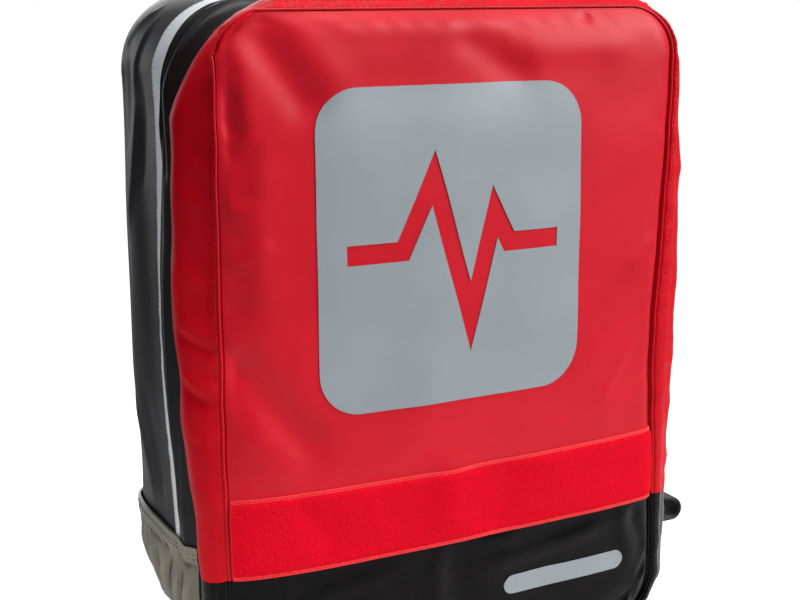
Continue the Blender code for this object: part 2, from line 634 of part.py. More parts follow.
def make_trim():
    """Strip, flaps and boot over the main compartment, and the welts beside the front seam."""
    rows = main_rows()
    strip_rear = row_at_depth(STRIP_SETBACK)
    strip_front = row_at_depth(STRIP_SETBACK - STRIP_WIDTH)
    trim_front = row_at_depth(TRIM_SETBACK)
    above_boot = upper_round(2 * GAP)
    skin_patch("reflective_strip", "reflective_grey", between(rows, strip_front, strip_rear),
               above_boot, GAP + STRIP_WALL, STRIP_WALL)
    flap_rows = between(rows, trim_front, strip_front)
    flap_rows[-1] = row_at_depth(STRIP_SETBACK - STRIP_WIDTH - GAP)
    skin_patch("main_flap", "black_tarpaulin", flap_rows, above_boot, GAP + FLAP_WALL, FLAP_WALL)
    skin_patch("boot", "boot_fabric", between(rows, trim_front, BOOT_END_ROW), lower_round(GAP),
               GAP + BOOT_WALL, BOOT_WALL)
    welt_rows = np.array(WELT_ROWS)
    skin_patch("seam_welt_red", "red_tarpaulin", welt_rows, upper_round(GAP),
               GAP + WELT_WALL, WELT_WALL)
    skin_patch("seam_welt_black", "black_tarpaulin", welt_rows, lower_round(GAP),
               GAP + WELT_WALL, WELT_WALL)
    over = full_round()
    flap_rows = between(pocket_rows(), row_at_depth(SIZES[BULGE_ROW, 0] - 0.35 * POCKET_FLAP_WIDTH),
                        row_at_depth(SIZES[BULGE_ROW, 0] + 0.65 * POCKET_FLAP_WIDTH))
    skin_patch("pocket_flap", "red_tarpaulin", flap_rows, over[(over >= 5.0) & (over <= 7.0)],
               GAP + FLAP_WALL, FLAP_WALL)


def back_points(x, z, lift=0.0):
    """Points of the back panel's face, with its padded middle."""
    _, half, top, low = (float(v) for v in section(np.array(float(BACK_ROW)))[:4])
    up = (z - low) / (top - low)
    raised = ((1 - soft_step(np.abs(x) / half, *PAD_SIDES)) * soft_step(up, *PAD_FOOT)
              * (1 - soft_step(up, *PAD_HEAD)))
    channel = 1 - PAD_CHANNEL[1] * np.exp(-(x / (PAD_CHANNEL[0] * half)) ** 2)
    y = MAIN_DEPTH + BACK_PAD_RISE * raised * channel + lift
    return np.stack([x, y, z], axis=-1)


def make_back():
    """Back panel inside the rim of the main gusset."""
    top, low = (float(v) for v in section(np.array(float(BACK_ROW)))[2:4])
    inset = WALL + RIM_GAP
    _, x, z = panel_grid(BACK_ROW, eased(-1.0, 1.0, 19), eased(low + inset, top - inset, 19), inset)
    sheet_solid("back_panel", "black_fabric", back_points(x, z), back_points(x, z, -WALL))


def make_side_loop():
    """Loop of webbing that stands out at the right, sewn in beside the pocket above the base."""
    middle_y = LOOP_SETBACK
    row = row_at_depth(middle_y + WEBBING_WIDTH / 2)
    root = float(skin(np.array(row), np.array(2.3))[0]) + BOOT_WALL + 2 * GAP
    turn = LOOP_HEIGHT / 2
    end_x = root + LOOP_REACH - turn
    angles = np.linspace(math.pi / 2, -math.pi / 2, 9)
    upper = [(root + (end_x - root) * s, turn + LOOP_ARCH * math.sin(math.pi * s)) for s in
             (0.0, 0.25, 0.5, 0.75)]
    bend = [(end_x + turn * math.cos(a) - 0.10 * turn * math.sin(a), turn * math.sin(a))
            for a in angles]
    lower = [(root + (end_x - root) * s, -turn) for s in (0.75, 0.5, 0.25, 0.0)]
    middle_z = JOINT_HEIGHT - LOOP_DROP
    path = np.array([(x, middle_y, middle_z + z) for x, z in upper + bend + lower])
    across = np.array([0.0, 1.0, 0.0])
    normals = planar_normals(path, across)
    sweep("side_loop", "webbing_black", path, normals, across, flat_profile(WEBBING_WIDTH, WEBBING_WALL))


def make_handle():
    """Grab handle of webbing on top, towards the back."""
    top = float(SIZES[MIDDLE_ROW, 2])
    base_z = top + GAP + HANDLE_WALL / 2
    half = HANDLE_SPAN / 2
    shares = np.linspace(-1.0, 1.0, 19)
    arch = [(half * s, base_z + HANDLE_RISE * (1 - s * s) ** 0.8) for s in shares]
    foot = [(-half - HANDLE_FOOT, base_z), (-half - HANDLE_FOOT / 2, base_z)]
    ends = [(-x, z) for x, z in foot[::-1]]
    middle_y = MAIN_DEPTH - HANDLE_FROM_BACK
    path = np.array([(x, middle_y, z) for x, z in foot + arch + ends])
    across = np.array([0.0, 1.0, 0.0])
    normals = planar_normals(path, across)
    sweep("grab_handle", "webbing_black", path, normals, across,
          flat_profile(WEBBING_WIDTH, HANDLE_WALL))


def strap_route(side):
    """Middle line of a padded strap, its normals and its width directions."""
    rows = np.array(STRAP_ROUTE)
    f = np.linspace(0.0, 1.0, 22)
    x = STRAP_TOP_X + (STRAP_END_X - STRAP_TOP_X) * smooth_curve(rows[:, 0], rows[:, 1], f)
    z = PACK_HEIGHT - STRAP_TOP_DROP - STRAP_DROP * smooth_curve(rows[:, 0], rows[:, 2], f)
    stand = STRAP_STAND * smooth_curve(rows[:, 0], rows[:, 3], f)
    y = MAIN_DEPTH + GAP + STRAP_WALL / 2 + stand
    path = np.stack([side * x, y, z], axis=-1)
    tangents = unit(np.gradient(path, axis=0))
    outward = np.array([0.0, 1.0, 0.0])
    normals = unit(outward - tangents * (tangents @ outward)[:, None])
    return path, tangents, normals


def make_strap(side, label):
    """Padded shoulder strap, its buckle, the tab that holds it and the webbing to the base."""
    path, tangents, normals = strap_route(side)
    profile = flat_profile(STRAP_WIDTH, STRAP_WALL, STRAP_WALL * STRAP_EDGE)
    start, narrowing = STRAP_NARROWING
    rings = []
    for i, (point, tangent, normal) in enumerate(zip(path, tangents, normals)):
        across = np.cross(tangent, normal)
        last = len(path) - 1
        narrow = 1.0 - narrowing * soft_step(i / last, start, 1.0)
        rings.append([point + across * a * narrow + normal * n for a, n in profile])
    rings = np.array(rings)
    sides = rings.shape[1]
    faces = [[i * sides + j, i * sides + (j + 1) % sides, (i + 1) * sides + (j + 1) % sides,
              (i + 1) * sides + j] for i in range(len(path) - 1) for j in range(sides)]
    faces.append(list(range(sides))[::-1])
    faces.append([(len(path) - 1) * sides + j for j in range(sides)])
    add_object("shoulder_strap_" + label, "black_fabric", rings.reshape(-1, 3), faces)

    run = tangents[-1] * np.array([1.0, 0.0, 1.0])
    down = run / np.linalg.norm(run)
    out = np.array([0.0, 1.0, 0.0])
    across = np.cross(down, out)
    tilt_cos, tilt_sin = math.cos(BUCKLE_TILT), math.sin(BUCKLE_TILT)
    along = down * tilt_cos - out * tilt_sin
    normal = out * tilt_cos + down * tilt_sin
    start = path[-1] + along * TAB_LENGTH

    bar = BUCKLE_WALL / 2
    ride = bar + GAP + WEBBING_WALL / 2
    window = WEBBING_WIDTH / 2 + BUCKLE_SIDE_GAP
    make_buckle(label, start, along, normal, across, window, bar)

    turn = np.linspace(math.pi / 2, -math.pi / 2, 7)
    hold = BUCKLE_BARS[0][1] - 2 * GAP
    tab = [(GAP - TAB_LENGTH, ride), (-TAB_LENGTH / 2, ride)]
    tab += [(hold + ride * math.cos(a), ride * math.sin(a)) for a in turn]
    tab += [(-TAB_LENGTH / 2, -ride), (GAP - TAB_LENGTH, -ride)]
    tab_path = np.array([start + along * s + normal * n for s, n in tab])
    sweep("buckle_tab_" + label, "webbing_black", tab_path, planar_normals(tab_path, across), across,
          flat_profile(WEBBING_WIDTH, WEBBING_WALL))

    centre = (BUCKLE_BARS[1][0] + BUCKLE_BARS[1][1]) / 2
    clear = BUCKLE_BARS[2][1] - centre + WEBBING_WALL
    web = [(centre + TAIL_LENGTH, ride * 1.6), (centre + TAIL_LENGTH * 0.6, ride * 1.3),
           (centre + clear, ride), (centre + clear / 2, ride)]
    web += [(centre - ride * math.cos(a), ride * math.sin(a)) for a in turn]
    web += [(centre + clear / 2, -ride), (centre + clear, -ride)]
    web_path = [start + along * s + normal * n for s, n in web]
    lift_off = web_path[-1]
    anchor = path[-1] + down * ANCHOR_REACH
    anchor[1] = MAIN_DEPTH + GAP + WEBBING_WALL / 2
    landing = anchor - down * ANCHOR_LENGTH
    reach = np.linalg.norm((landing - lift_off) * np.array([1.0, 0.0, 1.0]))
    for f in np.linspace(0.0, 1.0, 10)[1:]:
        ease = [(1 + 2 * f) * (1 - f) ** 2, f * (1 - f) ** 2, f * f * (3 - 2 * f), f * f * (f - 1)]
        web_path.append(lift_off * ease[0] + along * reach * ease[1] + landing * ease[2]
                        + down * reach * ease[3])
    web_path += [anchor - down * ANCHOR_LENGTH * s for s in (0.66, 0.33, 0.0)]
    web_path = np.array(web_path)
    sweep("lower_webbing_" + label, "webbing_black", web_path, planar_normals(web_path, across),
          across, flat_profile(WEBBING_WIDTH, WEBBING_WALL))


def make_buckle(label, start, along, normal, across, window, bar):
    """Ladder-lock buckle: two rails joined by three bars, the middle one thinner."""
    side_marks = np.array([-window - BUCKLE_RAIL, -window, window, window + BUCKLE_RAIL])
    run_marks = np.array([s for b in BUCKLE_BARS for s in b[:2]])
    half_wall = np.array([bar * b[2] for b in BUCKLE_BARS for _ in range(2)])
    keep = np.ones((5, 3), bool)
    keep[1, 1] = keep[3, 1] = False
    outer, inner = [], []
    for s, h in zip(run_marks, half_wall):
        heights = np.array([bar, h, h, bar])
        base = start + along * s
        outer.append([base + across * w + normal * n for w, n in zip(side_marks, heights)])
        inner.append([base + across * w - normal * n for w, n in zip(side_marks, heights)])
    sheet_solid("strap_buckle_" + label, "black_plastic", np.array(outer), np.array(inner), keep=keep)


def stand_at_origin():
    """Moves every piece so that the origin lies at the middle of the whole pack's base."""
    nodes = [o for o in bpy.context.scene.objects if o.type == "MESH"]
    points = np.concatenate([[v.co[:] for v in o.data.vertices] for o in nodes])
    low, high = points.min(axis=0), points.max(axis=0)
    shift = np.array([-(low[0] + high[0]) / 2, -(low[1] + high[1]) / 2, -low[2]])
    for node in nodes:
        for vertex in node.data.vertices:
            vertex.co = vertex.co[0] + shift[0], vertex.co[1] + shift[1], vertex.co[2] + shift[2]


def smooth_cloth():
    """Smooth shading with crisp edges where walls turn."""
    for node in bpy.context.scene.objects:
        node.data.shade_smooth()
        node.data.set_sharp_from_angle(angle=math.radians(38))


clear_scene()
make_gussets()
make_front()
make_trim()
make_back()
make_side_loop()
make_handle()
make_strap(1.0, "right")
make_strap(-1.0, "left")
stand_at_origin()
smooth_cloth()
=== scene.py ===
"""Looks of the medical backpack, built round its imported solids.

The cloth is one surface, skin(), lofted through the rows of SECTIONS as the solids are. Every cloth
piece is a patch of it with relief for folds and puckers. Lengths are in metres, in the pack's own
frame: x from its middle, y from the valley behind the pocket, z from the ground. make() moves each
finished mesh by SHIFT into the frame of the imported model.
"""
import math

import bpy
import numpy as np
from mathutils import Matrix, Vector


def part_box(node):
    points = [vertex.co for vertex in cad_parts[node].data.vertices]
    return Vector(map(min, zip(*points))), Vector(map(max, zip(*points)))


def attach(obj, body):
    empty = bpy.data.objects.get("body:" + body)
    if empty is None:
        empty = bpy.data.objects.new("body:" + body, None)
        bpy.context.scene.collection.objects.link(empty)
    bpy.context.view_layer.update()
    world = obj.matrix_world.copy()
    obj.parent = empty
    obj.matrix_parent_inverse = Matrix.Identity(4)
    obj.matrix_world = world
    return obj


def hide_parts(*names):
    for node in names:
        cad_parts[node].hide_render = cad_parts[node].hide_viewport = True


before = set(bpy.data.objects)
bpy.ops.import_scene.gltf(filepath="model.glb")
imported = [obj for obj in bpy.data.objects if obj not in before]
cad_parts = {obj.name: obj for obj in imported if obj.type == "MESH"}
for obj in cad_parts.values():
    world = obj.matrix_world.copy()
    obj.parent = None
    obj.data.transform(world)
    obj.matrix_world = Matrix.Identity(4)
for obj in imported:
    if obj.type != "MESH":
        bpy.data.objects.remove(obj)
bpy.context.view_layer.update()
HANDLE_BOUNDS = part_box("grab_handle")
SHIFT = np.array([(HANDLE_BOUNDS[0].x + HANDLE_BOUNDS[1].x) / 2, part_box("divider_panel")[0].y, 0.0])

# Sizes of the pack, as in the solids
PACK_WIDTH, POCKET_WIDTH, FRONT_WIDTH = 0.354, 0.370, 0.322
PACK_HEIGHT, JOINT_HEIGHT = 0.456, 0.100
MAIN_DEPTH, POCKET_DEPTH = 0.134, 0.053
CORNER_RADIUS, BASE_RADIUS, BASE_SHARE = 0.050, 0.096, 0.94
WALL, BOOT_WALL, GAP = 0.0020, 0.0018, 0.0003
SIDES = (-1, 1)
FACING_BACK, UPWARD = np.array([0.0, 1.0, 0.0]), np.array([0.0, 0.0, 1.0])
IN_BACK_PLANE = np.array([1.0, 0.0, 1.0])
STRIP_SETBACK = 0.028
BAND_HEIGHT = 0.0525
WEBBING_WIDTH, WEBBING_WALL = 0.025, 0.0018
# Height of the front panel's shoulder beside its seam and of the crown in its middle
FRONT_SHOULDER, FRONT_CROWN = 0.0065, 0.0080
# Distance in which the shoulder rises from the left, right, top and low seam
SHOULDER_REACHES = (0.0150, 0.0045, 0.0115, 0.0080)

# Cross-sections from the front seam to the back seam, as shares of the sizes above
SECTIONS = (
    # depth, width, top, low, joint, top_left, top_right, base
    (-1.000, 1.000, 0.978, 0.018, 1.015, 0.60, 0.68, 0.36),
    (-0.906, 0.946, 0.991, 0.005, 0.990, 1.24, 1.00, 0.44),
    (-0.660, 1.000, 1.000, -0.003, 0.980, 1.76, 1.28, 0.50),
    (-0.283, 0.973, 0.996, -0.002, 0.980, 1.76, 1.32, 0.54),
    (0.000, 0.949, 0.974, 0.022, 0.990, 1.24, 1.20, 0.62),
    (0.097, 0.966, 0.987, 0.006, 1.010, 1.08, 1.08, 0.73),
    (0.209, 0.983, 0.993, -0.002, 1.020, 1.00, 1.00, 0.83),
    (0.522, 1.000, 1.000, -0.004, 1.040, 1.00, 1.00, 1.00),
    (0.761, 0.980, 1.000, 0.008, 1.010, 1.08, 1.08, 1.00),
    (0.925, 0.927, 0.978, 0.048, 0.980, 1.08, 1.08, 0.92),
    (1.000, 0.842, 0.952, 0.088, 0.970, 1.00, 1.00, 0.80),
)
FRONT_ROW, VALLEY_ROW, BACK_ROW = 0, 4, 10

# How much wider each part of the pack is at a height, as shares of the pack's height and width
GIRTH = (
    # height, seam_right, pocket_left, pocket_right, main_left
    (0.00, 0.000, -0.034, 0.006, 0.000),
    (0.14, 0.000, -0.034, 0.003, -0.008),
    (0.26, -0.006, -0.031, 0.003, -0.011),
    (0.45, -0.022, -0.010, 0.008, 0.000),
    (0.65, -0.011, -0.004, 0.007, 0.000),
    (0.85, 0.000, -0.011, -0.006, -0.004),
    (1.00, 0.003, -0.008, -0.008, -0.004),
)

# Upright creases of the sides, as shares of the depth, the height and (for rise) the cloth's wall
SIDE_CREASES = (
    # depth, low, high, width, rise
    (0.36, 0.30, 0.92, 0.13, -1.4),
    (0.55, 0.26, 0.86, 0.12, 0.9),
    (0.74, 0.30, 0.96, 0.11, -1.2),
)


def smooth_curve(xs, ys, x):
    """Cubic through the points that never overshoots: its slope at a point is the harmonic mean of
    the slopes on both sides, or 0 at a peak."""
    xs, ys = np.asarray(xs, float), np.asarray(ys, float)
    step = np.diff(xs)
    slope = np.diff(ys) / step
    tangent = np.concatenate(([slope[0]], np.zeros(len(xs) - 2), [slope[-1]]))
    for i in range(1, len(xs) - 1):
        if slope[i - 1] * slope[i] > 0:
            before, after = 2 * step[i] + step[i - 1], step[i] + 2 * step[i - 1]
            tangent[i] = (before + after) / (before / slope[i - 1] + after / slope[i])
    k = np.clip(np.searchsorted(xs, x, side="right") - 1, 0, len(xs) - 2)
    f = np.clip((x - xs[k]) / step[k], 0.0, 1.0)
    return (ys[k] * (1 + 2 * f) * (1 - f) ** 2 + tangent[k] * step[k] * f * (1 - f) ** 2
            + ys[k + 1] * f * f * (3 - 2 * f) + tangent[k + 1] * step[k] * f * f * (f - 1))


def section_sizes(number):
    """Real sizes of a row of SECTIONS: each share times the size that it belongs to."""
    depth, width, top, low, joint, top_left, top_right, base = SECTIONS[number]
    reach = POCKET_DEPTH if number < VALLEY_ROW else MAIN_DEPTH
    full = FRONT_WIDTH if number == FRONT_ROW else POCKET_WIDTH if number < VALLEY_ROW else PACK_WIDTH
    return (depth * reach, width * full / 2, top * PACK_HEIGHT, low * PACK_HEIGHT,
            joint * JOINT_HEIGHT, top_left * CORNER_RADIUS, top_right * CORNER_RADIUS,
            base * BASE_RADIUS)


SIZES = np.array([section_sizes(n) for n in range(len(SECTIONS))])
ROW_NUMBERS = np.arange(len(SECTIONS), dtype=float)


def section(t):
    """Sizes at row position t, which may lie between two rows."""
    return [smooth_curve(ROW_NUMBERS, SIZES[:, c], t) for c in range(SIZES.shape[1])]


def row_at_depth(depth):
    """Row position of a depth behind (or, negative, before) the valley."""
    fine = np.linspace(0.0, BACK_ROW, 4001)
    return np.interp(depth, section(fine)[0], fine)


def soft_step(value, low, high):
    """Smooth rise from 0 at low to 1 at high, 3 f squared less 2 f cubed."""
    f = np.clip((value - low) / (high - low), 0.0, 1.0)
    return f * f * (3 - 2 * f)


def bell(value, width):
    """Gauss bell of height 1: e to the minus square of value over width."""
    return np.exp(-(value / width) ** 2)


# How far each row's left top corner leans from a round one towards a straight bevel
LEFT_BEVEL = ((0.0, 1.0, 2.0, 3.0, 4.0, 5.0, 10.0), (0.42, 0.34, 0.34, 0.36, 0.30, 0.16, 0.16))
RIGHT_BEVEL = 0.08
# tan 22.5 degrees and 1 less cos 45 degrees: they keep a bevelled corner as far out as a round one
EIGHTH_TAN, EIGHTH_RISE = 0.414, 0.293
SEAM_WOBBLE = 0.00028
# How far the left flange beside the seam stands out (or, negative, in), by height
LEFT_FLANGE = ((0.0, 0.14, 0.20, 0.26, 0.34, 0.42, 0.456),
               (0.0050, 0.0060, 0.0030, -0.0030, -0.0070, -0.0070, -0.0040))


def skin(t, q):
    """Outer surface of the pack: t from the front seam to the back seam, q round a section.

    q is 0 in the middle of the base, 1 to 2 in the right bottom corner, 3 at the joint of the
    cloths, 4 to 5 in the top corner, 6 in the middle of the top, and 6 to 12 down the left half.
    A section is a box with round or bevelled corners. Its sides then swell by GIRTH at their height,
    each as far as t lies at its seam, pocket or main part, and take the upright creases.
    """
    y, half, top, low, joint, radius_left, radius_right, base = section(t)
    q = np.mod(q, 12.0)
    right = q <= 6.0
    k = np.where(right, q, 12.0 - q)
    part = np.minimum(np.floor(k), 5.0)
    f = k - part
    bevel = np.where(right, RIGHT_BEVEL, np.interp(t, *LEFT_BEVEL))
    radius = np.where(right, radius_right, radius_left) * EIGHTH_TAN / (EIGHTH_TAN + EIGHTH_RISE * bevel)
    base_rise = np.minimum(base, BASE_SHARE * (joint - low))
    base_top = low + base_rise
    side_top = top - radius
    turn = f * math.pi / 2
    corner_x = (1 - bevel) * np.cos(turn) + bevel * (1 - f)
    corner_z = (1 - bevel) * np.sin(turn) + bevel * f
    pieces = [part == i for i in range(6)]
    x = np.select(pieces, [f * (half - base), half - base + base * np.sin(turn), half + 0 * f,
                           half + 0 * f, half - radius + radius * corner_x,
                           (half - radius) * (1 - f)])
    z = np.select(pieces, [low + 0 * f, low + base_rise * (1 - np.cos(turn)),
                           base_top + (joint - base_top) * f, joint + (side_top - joint) * f,
                           side_top + radius * corner_z, top + 0 * f])
    heights = [row[0] * PACK_HEIGHT for row in GIRTH]
    seam_right, pocket_left, pocket_right, main_left = (
        smooth_curve(heights, [row[c] * PACK_WIDTH for row in GIRTH], z) for c in range(1, 5))
    at_seam = np.clip(1 - t, 0, 1)
    at_pocket = np.clip(t, 0, 1) * np.clip(VALLEY_ROW + 0.5 - t, 0, 1)
    at_main = np.clip(t - VALLEY_ROW - 0.5, 0, 1)
    wobble = SEAM_WOBBLE * (np.sin(z / 0.0085 + 1.8 * np.sin(z / 0.031)) + 0.7 * np.sin(z / 0.023))
    at_flange = soft_step(t, 0.0, 1.0) * (1 - soft_step(t, 1.0, 2.2))
    flange = at_flange * smooth_curve(LEFT_FLANGE[0], LEFT_FLANGE[1], z)
    seam_right = seam_right + wobble
    swell = np.where(right, at_seam * seam_right + at_pocket * pocket_right,
                     at_seam * wobble + flange + at_pocket * pocket_left + at_main * main_left)
    x = x + swell * np.clip(x / half, 0, 1)
    crease = 0.0
    for depth, bottom, up, width, rise in SIDE_CREASES:
        near = bell(y - depth * MAIN_DEPTH, width * MAIN_DEPTH)
        tall = (soft_step(z, (bottom - 0.06) * PACK_HEIGHT, (bottom + 0.06) * PACK_HEIGHT)
                * (1 - soft_step(z, (up - 0.10) * PACK_HEIGHT, up * PACK_HEIGHT)))
        crease = crease + rise * WALL * near * tall
    x = x + crease * np.clip(x / half, 0, 1) ** 2
    sole = np.where(t > VALLEY_ROW, BOOT_WALL + GAP, 0.0)
    return np.stack([np.where(right, x, -x), y + 0 * x, np.maximum(z, sole)], axis=-1)


def unit(vectors):
    """Each vector at length 1."""
    return vectors / np.maximum(np.linalg.norm(vectors, axis=-1, keepdims=True), 1e-12)


def grid_normals(points, ring=False):
    """Normals of a grid, pointing away from the pack's middle; with ring its columns meet."""
    if ring:
        wide = np.concatenate([points[:, -2:], points, points[:, :2]], axis=1)
        return grid_normals(wide)[:, 2:-2]
    normals = unit(np.cross(np.gradient(points, axis=0), np.gradient(points, axis=1)))
    away = points - np.array([0.0, MAIN_DEPTH / 4, PACK_HEIGHT / 2])
    return normals if np.sum(normals * away) > 0 else -normals


def waves(a, b, length, seed, stretch=1.0):
    """Irregular swell between about -1 and 1: seven sine waves of near lengths and mixed headings."""
    draw = np.random.default_rng(seed)
    total = 0.0
    for _ in range(7):
        heading = draw.uniform(0, math.pi)
        size = length * draw.uniform(0.7, 1.6)
        phase = draw.uniform(0, 2 * math.pi)
        total = total + np.sin(2 * math.pi * (a * math.cos(heading) + b * math.sin(heading) / stretch)
                               / size + phase)
    return total / 3.5


def folds(a, b, table):
    """Sum of folds on a plane (a, b): each a bell across a line that tapers off at both ends.

    Rows are a0, b0, a1, b1, width, rise, bow, all in mm. bow bends the line sideways at its middle.
    """
    total = 0.0
    for a0, b0, a1, b1, width, rise, bow in np.array(table, float) / 1000:
        run = math.hypot(a1 - a0, b1 - b0)
        along = ((a - a0) * (a1 - a0) + (b - b0) * (b1 - b0)) / run ** 2
        off = ((a - a0) * (b1 - b0) - (b - b0) * (a1 - a0)) / run
        off = off - bow * 4 * np.clip(along, 0, 1) * (1 - np.clip(along, 0, 1))
        past = np.maximum(np.maximum(-along, along - 1), 0) * run
        taper = np.clip(np.minimum(along, 1 - along) * 4 + 0.25, 0, 1)
        total = total + rise * np.exp(-(off ** 2 + past ** 2) / width ** 2) * taper
    return total


# Meshes

def make(name, vertices, faces, material, uv=None, smooth=40.0):
    """Mesh object from arrays of vertices and faces (quads, with -1 for a missing fourth corner)."""
    mesh = bpy.data.meshes.new(name)
    vertices = np.asarray(vertices, np.float64) + SHIFT
    faces = np.asarray(faces, np.int64)
    sizes = np.where(faces[:, 3] < 0, 3, 4)
    corners = faces[faces >= 0]
    mesh.vertices.add(len(vertices))
    mesh.vertices.foreach_set("co", vertices.astype(np.float32).ravel())
    mesh.loops.add(len(corners))
    mesh.loops.foreach_set("vertex_index", corners.astype(np.int32))
    mesh.polygons.add(len(faces))
    starts = np.concatenate([[0], np.cumsum(sizes)[:-1]])
    mesh.polygons.foreach_set("loop_start", starts.astype(np.int32))
    mesh.polygons.foreach_set("loop_total", sizes.astype(np.int32))
    if uv is not None:
        layer = mesh.uv_layers.new(name="cloth")
        layer.data.foreach_set("uv", np.asarray(uv)[corners].astype(np.float32).ravel())
    mesh.update(calc_edges=True)
    mesh.validate()
    mesh.polygons.foreach_set("use_smooth", np.ones(len(mesh.polygons), bool))
    mesh.set_sharp_from_angle(angle=math.radians(smooth))
    mesh.materials.append(material)
    made = bpy.data.objects.new(name, mesh)
    bpy.context.scene.collection.objects.link(made)
    return made


def signed_volume(vertices, faces):
    """Volume inside a closed mesh, negative where its faces point inwards."""
    a, b, c = (vertices[faces[:, i]] for i in range(3))
    volume = np.sum(a * np.cross(b, c))
    quads = faces[faces[:, 3] >= 0]
    return volume + np.sum(vertices[quads[:, 0]] * np.cross(vertices[quads[:, 2]], vertices[quads[:, 3]]))


def wrap(name, outer, inner, material, ring=False, keep=None, smooth=40.0):
    """Closed wall between two grids of points, with rims along every open edge and a UV in metres."""
    rows, columns = outer.shape[:2]
    cells = columns if ring else columns - 1
    if keep is None:
        keep = np.ones((rows - 1, cells), bool)
    i, j = np.nonzero(keep)
    k = (j + 1) % columns
    corner = [i * columns + j, i * columns + k, (i + 1) * columns + k, (i + 1) * columns + j]
    far = rows * columns
    faces = [np.stack(corner, axis=1), far + np.stack(corner[::-1], axis=1)]
    padded = np.pad(keep, 1)
    if ring:
        padded[1:-1, 0], padded[1:-1, -1] = keep[:, -1], keep[:, 0]
    sides = (((-1, 0), 0, 1), ((0, 1), 1, 2), ((1, 0), 2, 3), ((0, -1), 3, 0))
    for (di, dj), a, b in sides:
        edge = ~padded[i + 1 + di, j + 1 + dj]
        a, b = corner[a][edge], corner[b][edge]
        faces.append(np.stack([b, a, far + a, far + b], axis=1))
    faces = np.concatenate(faces)
    vertices = np.concatenate([outer.reshape(-1, 3), inner.reshape(-1, 3)])
    if signed_volume(vertices, faces) < 0:
        faces = faces[:, ::-1]
    along = np.linalg.norm(np.diff(outer, axis=0), axis=-1).mean(axis=1)
    across = np.linalg.norm(np.diff(outer, axis=1), axis=-1).mean(axis=0)
    v = np.concatenate([[0], np.cumsum(along)])
    u = np.concatenate([[0], np.cumsum(across)])
    grid = np.stack(np.meshgrid(u, v), axis=-1).reshape(-1, 2)
    return make(name, vertices, faces, material, uv=np.concatenate([grid, grid]), smooth=smooth)


def sheet(name, points, normals, wall, material, **more):
    """Cloth of a given wall whose outer face is the grid of points."""
    return wrap(name, points, points - normals * wall, material, **more)


def carry(name, path, normals, across, profile, material, closed=False, smooth=40.0):
    """Bar whose profile, in (across, normal) pairs, is carried along a path."""
    profile = np.asarray(profile)
    if profile.ndim == 2:
        profile = np.repeat(profile[None], len(path), axis=0)
    rings = (path[:, None] + across[:, None] * profile[..., :1] + normals[:, None] * profile[..., 1:])
    count, sides = rings.shape[:2]
    spans = count if closed else count - 1
    i, j = np.meshgrid(np.arange(spans), np.arange(sides), indexing="ij")
    i, j = i.ravel(), j.ravel()
    up, side = (i + 1) % count, (j + 1) % sides
    faces = np.stack([i * sides + j, i * sides + side, up * sides + side, up * sides + j], axis=1)
    vertices = rings.reshape(-1, 3)
    lengths = np.linalg.norm(np.diff(path, axis=0), axis=-1)
    girth = np.linalg.norm(np.diff(profile[0], axis=0), axis=-1)
    v = np.repeat(np.concatenate([[0], np.cumsum(lengths)]), sides)
    u = np.tile(np.concatenate([[0], np.cumsum(girth)]), count)
    uv = np.stack([u, v], axis=1)
    if not closed:
        middles = np.stack([rings[0].mean(axis=0), rings[-1].mean(axis=0)])
        base = len(vertices)
        vertices = np.concatenate([vertices, middles])
        uv = np.concatenate([uv, uv[[0, -1]]])
        j = np.arange(sides)
        side = (j + 1) % sides
        none = np.full(sides, -1)
        last = (count - 1) * sides
        faces = np.concatenate([faces, np.stack([side, j, np.full(sides, base), none], axis=1),
                                np.stack([last + j, last + side, np.full(sides, base + 1), none], axis=1)])
    if signed_volume(vertices, faces) < 0:
        turned = faces[:, ::-1].copy()
        short = faces[:, 3] < 0
        turned[short] = np.concatenate([faces[short][:, 2::-1], faces[short][:, 3:]], axis=1)
        faces = turned
    return make(name, vertices, faces, material, uv=uv, smooth=smooth)


def resample(path, step):
    """Points at an even step along a path, by its length so far."""
    lengths = np.concatenate([[0], np.cumsum(np.linalg.norm(np.diff(path, axis=0), axis=-1))])
    count = max(int(round(lengths[-1] / step)), 2)
    even = np.linspace(0, lengths[-1], count + 1)
    return np.stack([np.interp(even, lengths, path[:, c]) for c in range(3)], axis=1)


STITCH_PITCH, STITCH_LENGTH, THREAD_RADIUS = 0.0044, 0.0034, 0.00036


